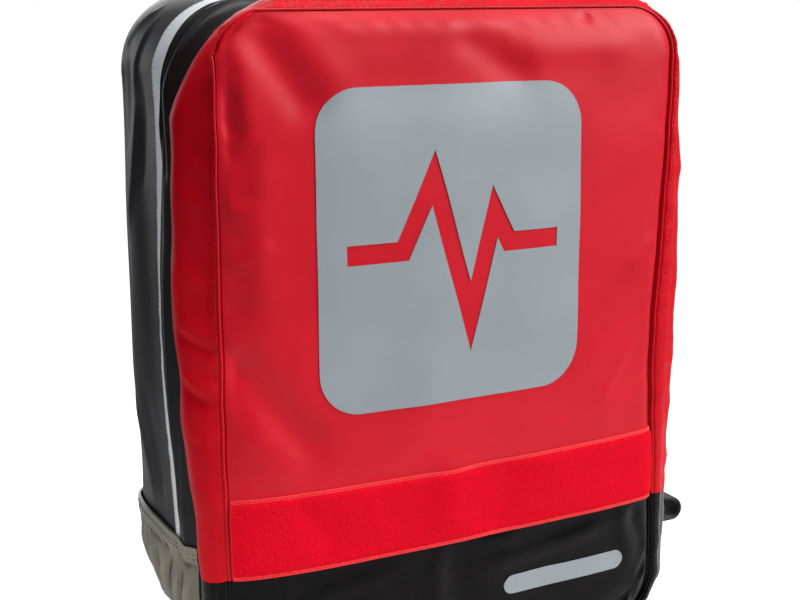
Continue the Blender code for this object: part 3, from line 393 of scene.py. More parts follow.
def stitches(name, rows, material, pitch=STITCH_PITCH, length=STITCH_LENGTH, radius=THREAD_RADIUS):
    """Rows of stitches in one mesh: each a capsule of 6 sides that dips into the cloth at both ends.

    rows is a list of (path, normals) pairs on the cloth's face.
    """
    shares = np.array([-0.5, -0.42, -0.2, 0.2, 0.42, 0.5])
    girth = np.array([0.25, 0.8, 1.0, 1.0, 0.8, 0.25])
    height = np.array([-0.9, -0.1, 0.45, 0.45, -0.1, -0.9])
    angles = np.arange(6) * math.pi / 3
    local = np.stack([np.repeat(shares * length, 6),
                      np.outer(girth * radius, np.cos(angles)).ravel(),
                      (np.outer(girth * radius, np.sin(angles)) + height[:, None] * radius).ravel()], axis=1)
    i, j = (g.ravel() for g in np.meshgrid(np.arange(5), np.arange(6), indexing="ij"))
    side = (j + 1) % 6
    tube = np.stack([i * 6 + j, (i + 1) * 6 + j, (i + 1) * 6 + side, i * 6 + side], axis=1)
    caps = np.array([[0, 1, 2, 3], [0, 3, 4, 5], [33, 32, 31, 30], [35, 34, 33, 30]])
    template = np.concatenate([tube, caps])
    vertices, faces, count = [], [], 0
    for path, normals in rows:
        even = resample(path, pitch)
        middle = (even[1:] + even[:-1]) / 2
        along = unit(np.diff(even, axis=0))
        marks = np.linspace(0, 1, len(normals))
        up = np.stack([np.interp(np.linspace(0, 1, len(middle)), marks, normals[:, c])
                       for c in range(3)], axis=1)
        side_way = unit(np.cross(up, along))
        up = np.cross(along, side_way)
        points = (middle[:, None] + along[:, None] * local[None, :, :1]
                  + side_way[:, None] * local[None, :, 1:2] + up[:, None] * local[None, :, 2:])
        vertices.append(points.reshape(-1, 3))
        faces.append((template[None] + (count + np.arange(len(middle)) * 36)[:, None, None]).reshape(-1, 4))
        count += len(middle) * 36
    vertices, faces = np.concatenate(vertices), np.concatenate(faces)
    if signed_volume(vertices[:36], template) < 0:
        faces = faces[:, ::-1]
    return make(name, vertices, faces, material, smooth=60.0)


def ride(piece, slot, *nodes):
    """The piece rides on the pack and stands for CAD nodes, which it hides. Its slot is not used."""
    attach(piece, "root")
    if nodes:
        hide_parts(*nodes)
    return piece


def lay(name, grid, wall, material, slot, *nodes, **more):
    """Cloth of a given wall whose outer face is a grid of (points, normals); it rides on the pack."""
    return ride(sheet(name, *grid, wall, material, **more), slot, *nodes)


# Materials

# Repeats per metre: cloudy wear 45 mm across, the grain of a coating 1.1 mm, of a moulding 0.6 mm and
# of thread 0.4 mm, the loop pile's tufts 1.2 mm, its fuzz 0.7 mm and its patches 1.6 mm
CLOUD_SCALE, GRAIN_SCALE, MOULDING_SCALE, THREAD_SCALE = 22.0, 900.0, 1800.0, 2500.0
TUFT_SCALE, FUZZ_SCALE, PATCH_SCALE = 820.0, 1500.0, 620.0
MESH_HOLE_SCALE = 410.0
YARN_PITCH = 0.0009


def colour(code):
    """Linear colour of an sRGB hex code, by the sRGB curve."""
    parts = np.array([int(code[i:i + 2], 16) / 255 for i in (1, 3, 5)])
    linear = np.where(parts <= 0.04045, parts / 12.92, ((parts + 0.055) / 1.055) ** 2.4)
    return (*map(float, linear), 1.0)


def node(tree, kind, inputs=None, **settings):
    """Adds a node, sets its properties, and sets or links its inputs."""
    made = tree.nodes.new("ShaderNode" + kind)
    for key, value in settings.items():
        setattr(made, key, value)
    for key, value in (inputs or {}).items():
        if isinstance(value, bpy.types.NodeSocket):
            tree.links.new(value, made.inputs[key])
        else:
            made.inputs[key].default_value = value
    return made


def surface(name, base, roughness, **values):
    """A material with a Principled shader whose constants are set on its own sockets."""
    made = bpy.data.materials.new(name)
    made.use_nodes = True
    shader = made.node_tree.nodes["Principled BSDF"]
    shader.inputs["Base Color"].default_value = colour(base)
    shader.inputs["Roughness"].default_value = roughness
    for key, value in values.items():
        shader.inputs[key.replace("_", " ")].default_value = value
    return made, made.node_tree, shader


def spread(tree, value, low, high, out_low, out_high):
    """Maps a value from one range to another."""
    return node(tree, "MapRange", {"Value": value, "From Min": low, "From Max": high,
                                   "To Min": out_low, "To Max": out_high}).outputs["Result"]


def mixed(tree, share, first, second):
    """Mix of two colours by a share: 6, 7 and 2 are the colour sockets of the node."""
    return node(tree, "Mix", {0: share, 6: first, 7: second}, data_type="RGBA").outputs[2]


def noise(tree, place, scale, detail):
    """Noise at a place, with a number of repeats per metre and of finer octaves."""
    return node(tree, "TexNoise", {"Vector": place, "Scale": scale, "Detail": detail}).outputs["Fac"]


def weave_height(tree, pitch):
    """Height of a plain weave in the piece's own UV, 0 to 1: the product of two sines, one thread over
    and one under."""
    uv = node(tree, "UVMap", uv_map="cloth").outputs["UV"]
    parts = node(tree, "SeparateXYZ", {"Vector": uv})
    turns = [node(tree, "Math", {0: parts.outputs[axis], 1: math.pi / pitch}, operation="MULTIPLY")
             for axis in ("X", "Y")]
    sines = [node(tree, "Math", {0: turn.outputs[0]}, operation="SINE") for turn in turns]
    crossed = node(tree, "Math", {0: sines[0].outputs[0], 1: sines[1].outputs[0]}, operation="MULTIPLY")
    return spread(tree, crossed.outputs[0], -1.0, 1.0, 0.0, 1.0)


def coated_cloth(name, base, roughness, weave, grain=0.25, tint=0.06, **values):
    """Coated cloth: its colour varies in soft clouds by tint, its gloss with the grain, and the yarn
    shows through the coating. weave is the depth of the yarn's relief in mm, grain the coating's.
    """
    made, tree, shader = surface(name, base, roughness, **values)
    place = node(tree, "TexCoord").outputs["Object"]
    cloud = noise(tree, place, CLOUD_SCALE, 4.0)
    fine = noise(tree, place, GRAIN_SCALE, 3.0)
    rgb = colour(base)
    dark = tuple(c * (1 - tint) for c in rgb[:3]) + (1.0,)
    light = tuple(min(c * (1 + tint) + 0.002, 1.0) for c in rgb[:3]) + (1.0,)
    share = spread(tree, cloud, 0.35, 0.65, 0.0, 1.0)
    tree.links.new(mixed(tree, share, dark, light), shader.inputs["Base Color"])
    tree.links.new(spread(tree, fine, 0.3, 0.7, roughness - 0.05, roughness + 0.05),
                   shader.inputs["Roughness"])
    yarn = node(tree, "Bump", {"Height": weave_height(tree, YARN_PITCH), "Strength": 0.6,
                               "Distance": weave / 1000})
    coat = node(tree, "Bump", {"Height": fine, "Normal": yarn.outputs["Normal"], "Strength": 0.6,
                               "Distance": grain / 1000})
    tree.links.new(coat.outputs["Normal"], shader.inputs["Normal"])
    return made


def paint_shade_and_highlight_by_relief(material, valley, ridge):
    """Painted shade and highlight: creases below the face turn to the valley colour as painted shade, ridges
    turn to the ridge colour as painted highlight.
    """
    tree = material.node_tree
    shader = tree.nodes["Principled BSDF"]
    before = shader.inputs["Base Color"].links[0].from_socket
    height = node(tree, "Attribute", attribute_name="relief").outputs["Fac"]
    # Ridges lightened as painted highlight, creases darkened as painted shade
    ridge_highlight = mixed(tree, spread(tree, height, 0.3, 2.4, 0.0, 0.6), before, colour(ridge))
    dark = mixed(tree, spread(tree, height, -0.2, -1.4, 0.0, 0.85), ridge_highlight, colour(valley))
    tree.links.new(dark, shader.inputs["Base Color"])


def note_relief(piece, heights):
    """Stores each point's relief in mm on a piece whose outer grid comes first; the inner face gets 0."""
    values = np.zeros(len(piece.data.vertices), np.float32)
    values[:heights.size] = heights.ravel() * 1000
    piece.data.attributes.new("relief", "FLOAT", "POINT").data.foreach_set("value", values)


# PVC tarpaulin: polyester cloth under a calendered coating, satin with a soft highlight
RED_TARPAULIN = coated_cloth("red_pvc_tarpaulin", "#CC0A22", 0.47, 0.02, grain=0.05, tint=0.05,
                             Specular_IOR_Level=0.28)
# The same red tarpaulin for the gusset, a deeper red with less specular: painted shade where the gusset is
# seen at a slant
GUSSET_TARPAULIN = coated_cloth("red_pvc_tarpaulin_painted_shade", "#CA041A", 0.50, 0.02, grain=0.05, tint=0.05,
                                Specular_IOR_Level=0.12)
# The same in black, wiped clean: glossier, so that its folds show as highlights
BLACK_TARPAULIN = coated_cloth("black_pvc_tarpaulin", "#030203", 0.27, 0.01, grain=0.015,
                               Specular_IOR_Level=0.13)
# The same tarpaulin round the base, its black lightened to a grey: painted reflection of the white floor
BOOT_TARPAULIN = coated_cloth("pvc_tarpaulin_painted_reflection", "#7C7669", 0.42, 0.03, grain=0.08, tint=0.22,
                              Specular_IOR_Level=0.4)
# Painted shade in the boot's creases and painted highlight on its ridges
paint_shade_and_highlight_by_relief(BOOT_TARPAULIN, "#38362F", "#A29C90")
# Polyester cloth coated on its back: matt, the yarn just shows
BLACK_POLYESTER = coated_cloth("coated_polyester", "#2C2B2E", 0.46, 0.06, grain=0.05,
                               Specular_IOR_Level=0.3)
# The same cloth on the flap inside the fold beside the pocket, darker: painted shade of the valley it lies in
FLAP_POLYESTER = coated_cloth("coated_polyester_painted_shade", "#1B1A1D", 0.44, 0.06, grain=0.04,
                              Specular_IOR_Level=0.3)
# Reflective tape seen from the lamps' side: the glass-bead film lightened to a bright silver grey, painted
# reflection of the lamps' light that its beads send back
REFLECTIVE_TAPE = coated_cloth("glass_bead_tape_painted_reflection", "#E8EEF2", 0.44, 0.0, grain=0.03, tint=0.02, Metallic=0.1)
# Glass-bead reflective film: even grey, satin
REFLECTIVE = coated_cloth("glass_bead_film", "#969EA4", 0.58, 0.0, grain=0.03, tint=0.02, Metallic=0.15)


def loop_pile():
    """Nylon loop pile: matt, fuzzy, each loop tuft about 1.2 mm across."""
    made, tree, shader = surface("nylon_loop_pile", "#E00618", 0.95, Sheen_Weight=0.25,
                                 Sheen_Roughness=0.5, Sheen_Tint=colour("#FF2030"), Specular_IOR_Level=0.08)
    place = node(tree, "TexCoord").outputs["Object"]
    tufts = node(tree, "TexVoronoi", {"Vector": place, "Scale": TUFT_SCALE}).outputs["Distance"]
    fuzz = noise(tree, place, FUZZ_SCALE, 5.0)
    patch = noise(tree, place, PATCH_SCALE, 5.0)
    rgb = mixed(tree, spread(tree, patch, 0.38, 0.62, 0.0, 1.0), colour("#DA0620"), colour("#E40A24"))
    rgb = mixed(tree, spread(tree, tufts, 0.3, 0.8, 0.0, 0.16), rgb, colour("#9E0012"))
    tree.links.new(rgb, shader.inputs["Base Color"])
    lower = node(tree, "Bump", {"Height": tufts, "Strength": 0.7, "Distance": 0.0006}, invert=True)
    upper = node(tree, "Bump", {"Height": fuzz, "Normal": lower.outputs["Normal"], "Strength": 0.6,
                                "Distance": 0.0005})
    tree.links.new(upper.outputs["Normal"], shader.inputs["Normal"])
    return made


def webbing(name, base, rib, light):
    """Polyester webbing: rows of ribs along it and a fine weave across, rib is their pitch."""
    made, tree, shader = surface(name, base, 0.72, Sheen_Weight=0.2)
    uv = node(tree, "UVMap", uv_map="cloth").outputs["UV"]
    turned = node(tree, "Mapping", {"Vector": uv, "Scale": (math.pi / rib, math.pi / rib, 1.0)})
    parts = node(tree, "SeparateXYZ", {"Vector": turned.outputs["Vector"]})
    across = node(tree, "Math", {0: parts.outputs["X"]}, operation="SINE").outputs[0]
    twill = node(tree, "Math", {0: parts.outputs["X"], 1: parts.outputs["Y"]}, operation="ADD")
    slant = node(tree, "Math", {0: twill.outputs[0]}, operation="SINE").outputs[0]
    height = node(tree, "Math", {0: across, 1: slant}, operation="MULTIPLY").outputs[0]
    share = spread(tree, height, -1.0, 1.0, 0.0, 1.0)
    tree.links.new(mixed(tree, share, colour(base), colour(light)), shader.inputs["Base Color"])
    bump = node(tree, "Bump", {"Height": share, "Strength": 0.8, "Distance": 0.0004})
    tree.links.new(bump.outputs["Normal"], shader.inputs["Normal"])
    return made


def spacer_mesh():
    """Knitted spacer mesh over foam: rows of small holes 2.4 mm apart."""
    made, tree, shader = surface("spacer_mesh", "#1C1C1E", 0.85, Sheen_Weight=0.3)
    place = node(tree, "TexCoord").outputs["Object"]
    cells = node(tree, "TexVoronoi", {"Vector": place, "Scale": MESH_HOLE_SCALE, "Randomness": 0.25})
    holes = cells.outputs["Distance"]
    rim = spread(tree, holes, 0.12, 0.42, 0.0, 1.0)
    tree.links.new(mixed(tree, rim, colour("#060607"), colour("#2C2C2F")), shader.inputs["Base Color"])
    bump = node(tree, "Bump", {"Height": rim, "Strength": 0.9, "Distance": 0.0007})
    tree.links.new(bump.outputs["Normal"], shader.inputs["Normal"])
    return made


def plain(name, base, roughness, grain, scale, **values):
    """A plain material with a fine grain, for thread and moulded plastic."""
    made, tree, shader = surface(name, base, roughness, **values)
    place = node(tree, "TexCoord").outputs["Object"]
    fine = noise(tree, place, scale, 3.0)
    tree.links.new(spread(tree, fine, 0.3, 0.7, roughness - 0.06, roughness + 0.06),
                   shader.inputs["Roughness"])
    bump = node(tree, "Bump", {"Height": fine, "Strength": 0.5, "Distance": grain / 1000})
    tree.links.new(bump.outputs["Normal"], shader.inputs["Normal"])
    return made


LOOP_PILE = loop_pile()
# Woven edge of the loop tape, flatter and lighter than its pile
RED_SELVEDGE = webbing("woven_nylon_selvedge", "#F01222", 0.0011, "#FF2A30")
BLACK_WEBBING = webbing("polyester_webbing", "#0E0E0F", 0.0016, "#2C2C2F")
SPACER_MESH = spacer_mesh()
# Bonded polyester thread: twisted, a little glossy
RED_THREAD, BLACK_THREAD, PALE_THREAD, GREY_THREAD = (
    plain(shade + "_bonded_thread", code, 0.55, 0.05, THREAD_SCALE)
    for shade, code in (("red", "#C40A1A"), ("black", "#101011"), ("pale", "#AEB6BC"), ("grey", "#6C6A64")))
# Moulded acetal: fine spark-eroded texture, low gloss
ACETAL = plain("moulded_acetal", "#1A1A1C", 0.42, 0.03, MOULDING_SCALE, IOR=1.48)


# Main compartment

def half_steps(counts):
    """q values of half a section, with a number of steps for each of its six parts."""
    return np.concatenate([[0.0]] + [part + np.arange(1, count + 1) / count
                                     for part, count in enumerate(counts)])


HALF = half_steps((26, 44, 6, 96, 34, 44))
ROUND = np.concatenate([HALF, 12.0 - HALF[::-1][1:-1]])


def upper(lift_off):
    """q values of the inverted U above the joint, its ends lift_off above the joint."""
    above = HALF[HALF >= 3.0]
    values = np.concatenate([above, 12.0 - above[::-1][1:]])
    side = PACK_HEIGHT - JOINT_HEIGHT - CORNER_RADIUS
    values[0] += lift_off / side
    values[-1] -= lift_off / side
    return values


def lower(drop):
    """q values of the U below the joint, from the left side round to the right side."""
    below = HALF[HALF <= 3.0]
    values = np.concatenate([12.0 - below[::-1], 12.0 + below[1:]])
    side = SIZES[3, 4] - SIZES[3, 7]
    values[0] += drop / side
    values[-1] -= drop / side
    return values


# Folds of the compartment's sides on the plane of y and z, in mm
LEFT_MAIN_FOLDS = (
    # y0, z0, y1, z1, width, rise, bow
    (60, 446, 84, 420, 3.0, 1.8, 0),
    (84, 420, 104, 352, 3.2, 1.8, 3),
    (50, 440, 62, 392, 3.4, 1.8, 2),
    (62, 392, 76, 300, 3.6, 1.6, 3),
    (70, 424, 84, 350, 6, -2.0, 2),
    (48, 404, 56, 330, 5, -1.2, 0),
    (84, 330, 88, 250, 8, -1.0, 4),
    (60, 180, 66, 330, 8, 0.9, -3),
    (110, 130, 104, 260, 6, 0.8, 2),
    (46, 118, 62, 200, 5, -1.0, 3),
    (62, 112, 84, 190, 4, 1.1, -3),
    (84, 108, 100, 160, 4, -0.9, 2),
)
RIGHT_MAIN_FOLDS = (
    (100, 240, 82, 410, 6, 1.4, -5),
    (88, 210, 76, 380, 9, -1.2, 3),
    (60, 160, 52, 300, 9, 0.9, 3),
    (112, 130, 104, 230, 6, 0.8, -2),
)


def main_relief(p):
    """Relief of the main compartment's cloth along its normal, faded out at its edges and the ground:
    the sides' folds, a slow swell everywhere and small puckers beside the reflective strip."""
    x, y, z = p[..., 0], p[..., 1], p[..., 2]
    side = soft_step(np.abs(x), 0.13, 0.165)
    total = side * np.where(x < 0, folds(y, z, LEFT_MAIN_FOLDS), folds(y, z, RIGHT_MAIN_FOLDS))
    total = total + 0.00055 * side * waves(y, z, 0.060, 3, stretch=2.6)
    total = total + 0.0007 * (1 - side) * waves(x, y, 0.090, 4)
    pucker = bell(y - STRIP_SETBACK - 0.002, 0.006)
    total = total + 0.00015 * pucker * np.sin(z / 0.0041 + 2 * np.sin(z / 0.013)) * side
    edge = soft_step(y, 0.002, 0.02) * (1 - soft_step(y, MAIN_DEPTH - 0.050, MAIN_DEPTH - 0.006))
    ground = soft_step(z, 0.004, 0.03)
    return total * edge * ground


def main_cloth(t_values, q_values, lift, ring=False):
    """Points and normals of the main compartment's cloth, lift above it."""
    t, q = np.meshgrid(t_values, q_values, indexing="ij")
    if np.ndim(lift) == 0:
        lift = np.full(t.shape, lift)
    points = skin(t, q)
    normals = grid_normals(points, ring)
    folded = points + normals * main_relief(points)[..., None]
    normals = grid_normals(folded, ring)
    return folded + normals * lift[..., None], normals


# The reflective tape's width, its outer face's height on the gusset and its wall
TAPE_WIDTH, TAPE_LIFT, TAPE_WALL = 0.0175, 0.0007, 0.0006
# Where the flap starts behind the valley, how far its puff carries its edge rearwards, and its height
FLAP_FOOT, FLAP_OVERHANG, FLAP_PUFF = 0.0008, 0.0026, 0.0034
FLAP_LIFT, FLAP_WALL = 0.0008, 0.0009
STRIP_ROUTE = (
    # height, rear edge behind the valley, width that shows, in mm
    (100, 22.8, 6.0), (129, 26.8, 6.2), (154, 28.4, 6.2), (178, 28.6, 4.8), (202, 29.6, 4.0),
    (225, 30.4, 3.4), (249, 30.0, 2.4), (273, 29.4, 2.4), (296, 28.4, 3.0), (319, 27.6, 4.4),
    (341, 27.2, 6.0), (363, 27.6, 8.0), (385, 28.6, 10.6), (406, 29.0, 11.4), (430, 28.6, 10.4),
    (456, 28.0, 7.0),
)
FLAP_FOLDS = (
    # y, z, y, z, width, rise, bow, in mm
    (14, 352, 17, 448, 1.6, 2.4, 1),
    (9, 345, 11, 446, 1.8, -2.4, 0),
    (4, 330, 7, 440, 2.0, 1.6, 0),
    (15, 150, 14, 300, 2.4, 1.2, -1),
    (7, 110, 8, 280, 2.6, -1.2, 1),
)


def make_main():
    """Gusset of the main compartment, the reflective strip and the flap beside it.

    The flap is a half wave high between the valley and its free edge, plus its folds, and lower at
    its foot. Its free edge lies on the strip, which shows wide at the top corner, narrow halfway down
    and wider again at its foot.
    """
    depths = np.concatenate([np.linspace(0.0, 0.030, 20), np.linspace(0.0315, MAIN_DEPTH, 70)])
    rows = row_at_depth(depths)
    rows[0], rows[-1] = VALLEY_ROW, BACK_ROW
    lay("main_gusset_cloth", main_cloth(rows, ROUND, 0.0, ring=True), WALL, BLACK_POLYESTER,
        "black_fabric", "main_gusset", ring=True)

    around = upper(2 * GAP)
    rear, showing = strip_edges(around)
    shares = np.linspace(0, 1, 9)[:, None]
    tape = trim_cloth(rear - TAPE_WIDTH + TAPE_WIDTH * shares, around, TAPE_LIFT)
    # The tape takes the lightened glass-bead film, painted reflection
    lay("reflective_tape", tape, TAPE_WALL, REFLECTIVE_TAPE, "reflective_grey", "reflective_strip")

    edge = rear - showing - FLAP_OVERHANG
    shares = np.linspace(0, 1, 24)[:, None]
    depth = FLAP_FOOT + (edge - FLAP_FOOT) * shares
    q = np.repeat(around[None, :], len(shares), axis=0)
    height = skin(row_at_depth(depth), q)[..., 2]
    wave = np.sin(math.pi * np.clip(shares * 1.12, 0, 1)) ** 1.2
    puff = FLAP_PUFF * wave + folds(depth, height, FLAP_FOLDS)
    above = soft_step(height, JOINT_HEIGHT, JOINT_HEIGHT + 0.03)
    over_tape = TAPE_WALL * soft_step(depth, 0.008, 0.012)
    lift = FLAP_LIFT + over_tape + (0.2 + 0.8 * above) * puff
    # The flap takes the darker copy of the cloth, painted shade of the valley
    lay("opening_flap_cloth", trim_cloth(depth, around, lift), FLAP_WALL, FLAP_POLYESTER,
        "black_tarpaulin", "main_flap")


def strip_edges(around):
    """Depth of the strip's rear edge at each q, and the width of it that shows, a little ragged."""
    at_strip = skin(np.full_like(around, row_at_depth(STRIP_SETBACK)), around)
    z = at_strip[:, 2]
    rows = np.array(STRIP_ROUTE) / 1000
    ragged = 0.0002 * np.sin(z / 0.006 + 2.2 * np.sin(z / 0.034)) * soft_step(0.37 - z, 0.0, 0.05)
    return smooth_curve(rows[:, 0], rows[:, 1], z), smooth_curve(rows[:, 0], rows[:, 2], z) + ragged


def trim_cloth(depth, around, lift):
    """Points and normals of a trim piece on the main cloth between given depths."""
    q = np.repeat(around[None, :], depth.shape[0], axis=0)
    points = skin(row_at_depth(depth), q)
    normals = grid_normals(points)
    points = points + normals * (main_relief(points) + lift)[..., None]
    return points, grid_normals(points)


# Front pocket

LEFT_POCKET_FOLDS = (
    # y0, z0, y1, z1, width, rise, bow, in mm, y behind the valley
    (-51, 254, -36, 268, 2.8, 1.7, 0),
    (-51, 246, -36, 259, 2.8, -1.7, 0),
    (-51, 222, -37, 236, 2.8, 1.7, 0),
    (-51, 213, -37, 226, 2.8, -1.7, 0),
    (-51, 282, -40, 292, 2.4, 1.0, 0),
    (-51, 312, -40, 320, 2.4, 0.9, 0),
    (-51, 190, -40, 200, 2.4, 0.9, 0),
    (-51, 352, -41, 362, 2.4, 0.9, 0),
    (-20, 250, -34, 300, 5, 0.7, 2),
    (-47, 290, -34, 300, 3, 0.6, 0),
    (-49, 330, -36, 344, 3, 0.7, 0),
    (-22, 90, -30, 190, 6, -1.0, 1),
    (-26, 108, -22, 180, 7, 0.8, 0),
)
RIGHT_POCKET_FOLDS = (
    (-50, 120, -30, 128, 4, 0.8, 0),
    (-50, 110, -30, 116, 4, -0.8, 0),
    (-50, 74, -32, 88, 3.6, 0.8, 0),
    (-50, 52, -32, 66, 3.6, -1.0, 0),
    (-50, 28, -30, 40, 3.6, 1.0, 0),
    (-46, 330, -24, 352, 5, 0.9, 0),
    (-44, 240, -22, 262, 5, -0.8, 0),
    (-46, 160, -28, 176, 5, 0.8, 0),
)


def pocket_relief(t, p):
    """Relief of the pocket's gusset along its normal: the sides' folds, a slow swell and puckers near the
    seam, all faded out at its edges, then the rolled seam allowance and the groove before it."""
    x, y, z = p[..., 0], p[..., 1], p[..., 2]
    side = soft_step(np.abs(x), 0.13, 0.16)
    total = side * np.where(x < 0, folds(y, z, LEFT_POCKET_FOLDS), folds(y, z, RIGHT_POCKET_FOLDS))
    swell = waves(z * side + x * (1 - side), y, 0.055, 11)
    total = total + 0.0006 * swell * soft_step(t, 0.6, 1.6)
    near_seam = soft_step(t, 0.25, 0.6) * (1 - soft_step(t, 1.0, 1.8))
    along = np.where(side > 0.5, z, x)
    total = total + 0.00034 * near_seam * np.sin(along / 0.0030 + 2.4 * np.sin(along / 0.017))
    total = total * soft_step(t, 0.0, 0.3) * (1 - soft_step(t, 3.3, 3.95))
    lumps = 1 + 0.09 * np.sin(z / 0.0031 + 2.0 * np.sin(z / 0.021))
    roll = soft_step(t, 0.10, 0.26) * (1 - soft_step(t, 0.45, 1.0)) * lumps
    total = total + np.where(x > 0, 0.0036, 0.0006) * side * roll
    total = total - 0.0007 * bell(t - 0.07, 0.06)
    return total * soft_step(z, 0.003, 0.02)


def pocket_cloth(t_values, q_values, lift):
    """Points and normals of the pocket gusset's cloth."""
    t, q = np.meshgrid(t_values, q_values, indexing="ij")
    points = skin(t, q)
    normals = grid_normals(points)
    folded = points + normals * pocket_relief(t, points)[..., None]
    normals = grid_normals(folded)
    return folded + normals * lift, normals


# The bead of the turned seam: row position behind the front seam, radius and height of its middle
BEAD_ROW, BEAD_RADIUS, BEAD_STAND = 0.17, 0.00085, 0.0006


def make_pocket_gusset():
    """Red and black parts of the pocket's gusset and the welts beside the front seam."""
    rows = np.concatenate([np.linspace(0.0, 1.0, 29), np.linspace(1.0, 3.0, 27)[1:],
                           np.linspace(3.0, row_at_depth(-GAP), 12)[1:]])
    bead = [(BEAD_RADIUS * math.cos(a), BEAD_STAND + BEAD_RADIUS * math.sin(a))
            for a in np.arange(10) * math.pi / 5]
    # The red gusset takes the deeper red copy of the tarpaulin, painted shade
    parts = (("red", upper(GAP), GUSSET_TARPAULIN, RED_TARPAULIN),
             ("black", lower(GAP), BLACK_TARPAULIN, BLACK_TARPAULIN))
    for label, around, cloth, _ in parts:
        lay("pocket_gusset_" + label + "_cloth", pocket_cloth(rows, around, 0.0), WALL, cloth,
            label + "_tarpaulin", "pocket_gusset_" + label)
    for label, around, _, welt in parts:
        path, normal = cloth_line(pocket_cloth, BEAD_ROW, 0.05, around, 0.0)
        across = unit(np.cross(normal, np.gradient(path, axis=0)))
        ride(carry("seam_welt_" + label + "_bead", path, normal, across, bead, welt),
             label + "_tarpaulin", "seam_welt_" + label)


def cloth_line(cloth, t_value, step, around, lift):
    """Path and normals of one row of a cloth, worked out with a row step before and one behind it."""
    points, normals = cloth(np.array([t_value - step, t_value, t_value + step]), around, lift)
    return points[1], normals[1]


def seam_half_widths(row, z, inset):
    """Half widths, left and right, at height z of a panel set in by inset from the section at row."""
    q = np.linspace(1.0, 5.0, 1601)
    right = skin(np.full_like(q, row), q)
    left = skin(np.full_like(q, row), 12.0 - q)
    halves = []
    for line, sign in ((left, -1), (right, 1)):
        halves.append(np.minimum(np.interp(z + inset, line[:, 2], sign * line[:, 0]),
                                 np.interp(z - inset, line[:, 2], sign * line[:, 0])) - inset)
    return halves


# Folds of the front panel in mm: x from the pack's middle, z from the ground
FRONT_FOLDS = (
    # x0, z0, x1, z1, width, rise, bow
    (-143, 440, -101, 384, 13, -3.6, 0),
    (-118, 446, -84, 398, 12, 0.9, 0),
    (-96, 402, 50, 402, 20, -2.0, 0),
    (-152, 424, -143, 376, 9, 1.0, 1),
    (-143, 372, -138, 262, 15, 2.0, 2),
    (-155, 402, -150, 372, 6, -1.6, 1),
    (-154, 424, -155, 350, 7, -2.0, 0),
    (-143, 372, -147, 334, 8, -1.6, 2),
    (-150, 330, -152, 262, 9, -1.4, 0),
    (-156, 300, -132, 312, 5, 0.9, 0),
    (-8, 434, 48, 402, 11, -1.8, 1),
    (92, 443, 88, 437, 4, -0.9, 0),
    (30, 421, 126, 423, 11, 1.3, 0),
    (-112, 438, 30, 434, 8, 1.1, 0),
    (137, 226, 108, 183, 4.5, 1.0, 1),
    (147, 292, 127, 273, 5, 0.8, 0),
    (-166, 250, -100, 168, 12, -3.6, -2),
    (-164, 261, -152, 248, 4, 0.8, 0),
    (-152, 200, -118, 164, 12, 1.2, 0),
    (-120, 150, -92, 112, 9, -1.6, 0),
    (-60, 160, -20, 235, 12, 0.8, 5),
    (-16, 109, -12, 166, 14, 2.6, 0),
    (22, 100, 32, 155, 20, -2.8, 0),
    (-80, 150, -66, 112, 12, 0.9, 0),
    (70, 150, 84, 108, 12, 0.7, 0),
    (-157, 428, -147, 441, 2.6, -2.4, 0),
    (-22, 96, -14, 30, 8, 2.0, 3),
    (-10, 96, 2, 34, 9, -1.8, -2),
    (-120, 30, -60, 70, 10, 1.8, -4),
    (-130, 72, -50, 88, 8, 1.5, -3),
    (10, 78, 120, 90, 7, 1.6, 2),
    (-146, 60, -110, 88, 8, -0.9, 2),
    (70, 20, 140, 46, 9, 0.9, 5),
    (128, 100, 142, 52, 7, 1.6, 2),
    (140, 96, 154, 60, 5, -1.6, 0),
    (154, 44, 134, 12, 3.2, 1.8, 1),
    (158, 56, 142, 22, 3.0, -1.6, 1),
    (146, 34, 122, 10, 3.0, -1.4, 1),
    (40, 92, 78, 66, 10, -0.8, 3),
)


# Distance from the seam in which the front panel's folds fade out
FOLD_FADE = 0.006


def front_rise(x, z):
    """How far the front panel stands before its seam.

    The shoulder is a product of four rises, each 1 less e to the minus distance from a seam over its
    reach. The crown is a product of two parabolas. Folds, a swell and puckers fade out at the seam.
    """
    _, half, top, low = (float(v) for v in section(np.array(float(FRONT_ROW)))[:4])
    left, right = seam_half_widths(FRONT_ROW, z, 0.0)
    edges = [left + x, right - x, top - z, z - low]
    shoulder = FRONT_SHOULDER
    for edge, reach in zip(edges, SHOULDER_REACHES):
        shoulder = shoulder * (1 - np.exp(-np.maximum(edge, 0) / reach))
    across = np.clip(1 - (x / half) ** 2, 0, 1)
    upright = np.clip(1 - ((z - (top + low) / 2) / ((top - low) / 2)) ** 2, 0, 1)
    rise = shoulder + FRONT_CROWN * across * upright
    nearest = np.minimum(np.minimum(edges[0], edges[1]), np.minimum(edges[2], edges[3]))
    fade = np.clip(nearest / FOLD_FADE, 0, 1)
    rise = rise + fade * folds(x, z, FRONT_FOLDS)
    rise = rise + fade * 0.0004 * waves(x, z, 0.075, 21)
    beside = bell(nearest - FOLD_FADE, 0.005)
    rise = rise + 0.00018 * beside * np.sin((x + z) / 0.0034 + 2.0 * np.sin((x - z) / 0.019))
    return rise


def front_face(x, z, lift=0.0):
    """Points and normals of the front panel's face, moved out by lift along its normal."""
    step = 0.0005
    slope_x = (front_rise(x + step, z) - front_rise(x - step, z)) / (2 * step)
    slope_z = (front_rise(x, z + step) - front_rise(x, z - step)) / (2 * step)
    normal = unit(np.stack([-slope_x, -np.ones_like(x), -slope_z], axis=-1))
    face = np.stack([x, -POCKET_DEPTH - front_rise(x, z), z], axis=-1)
    return face + normal * np.asarray(lift)[..., None], normal


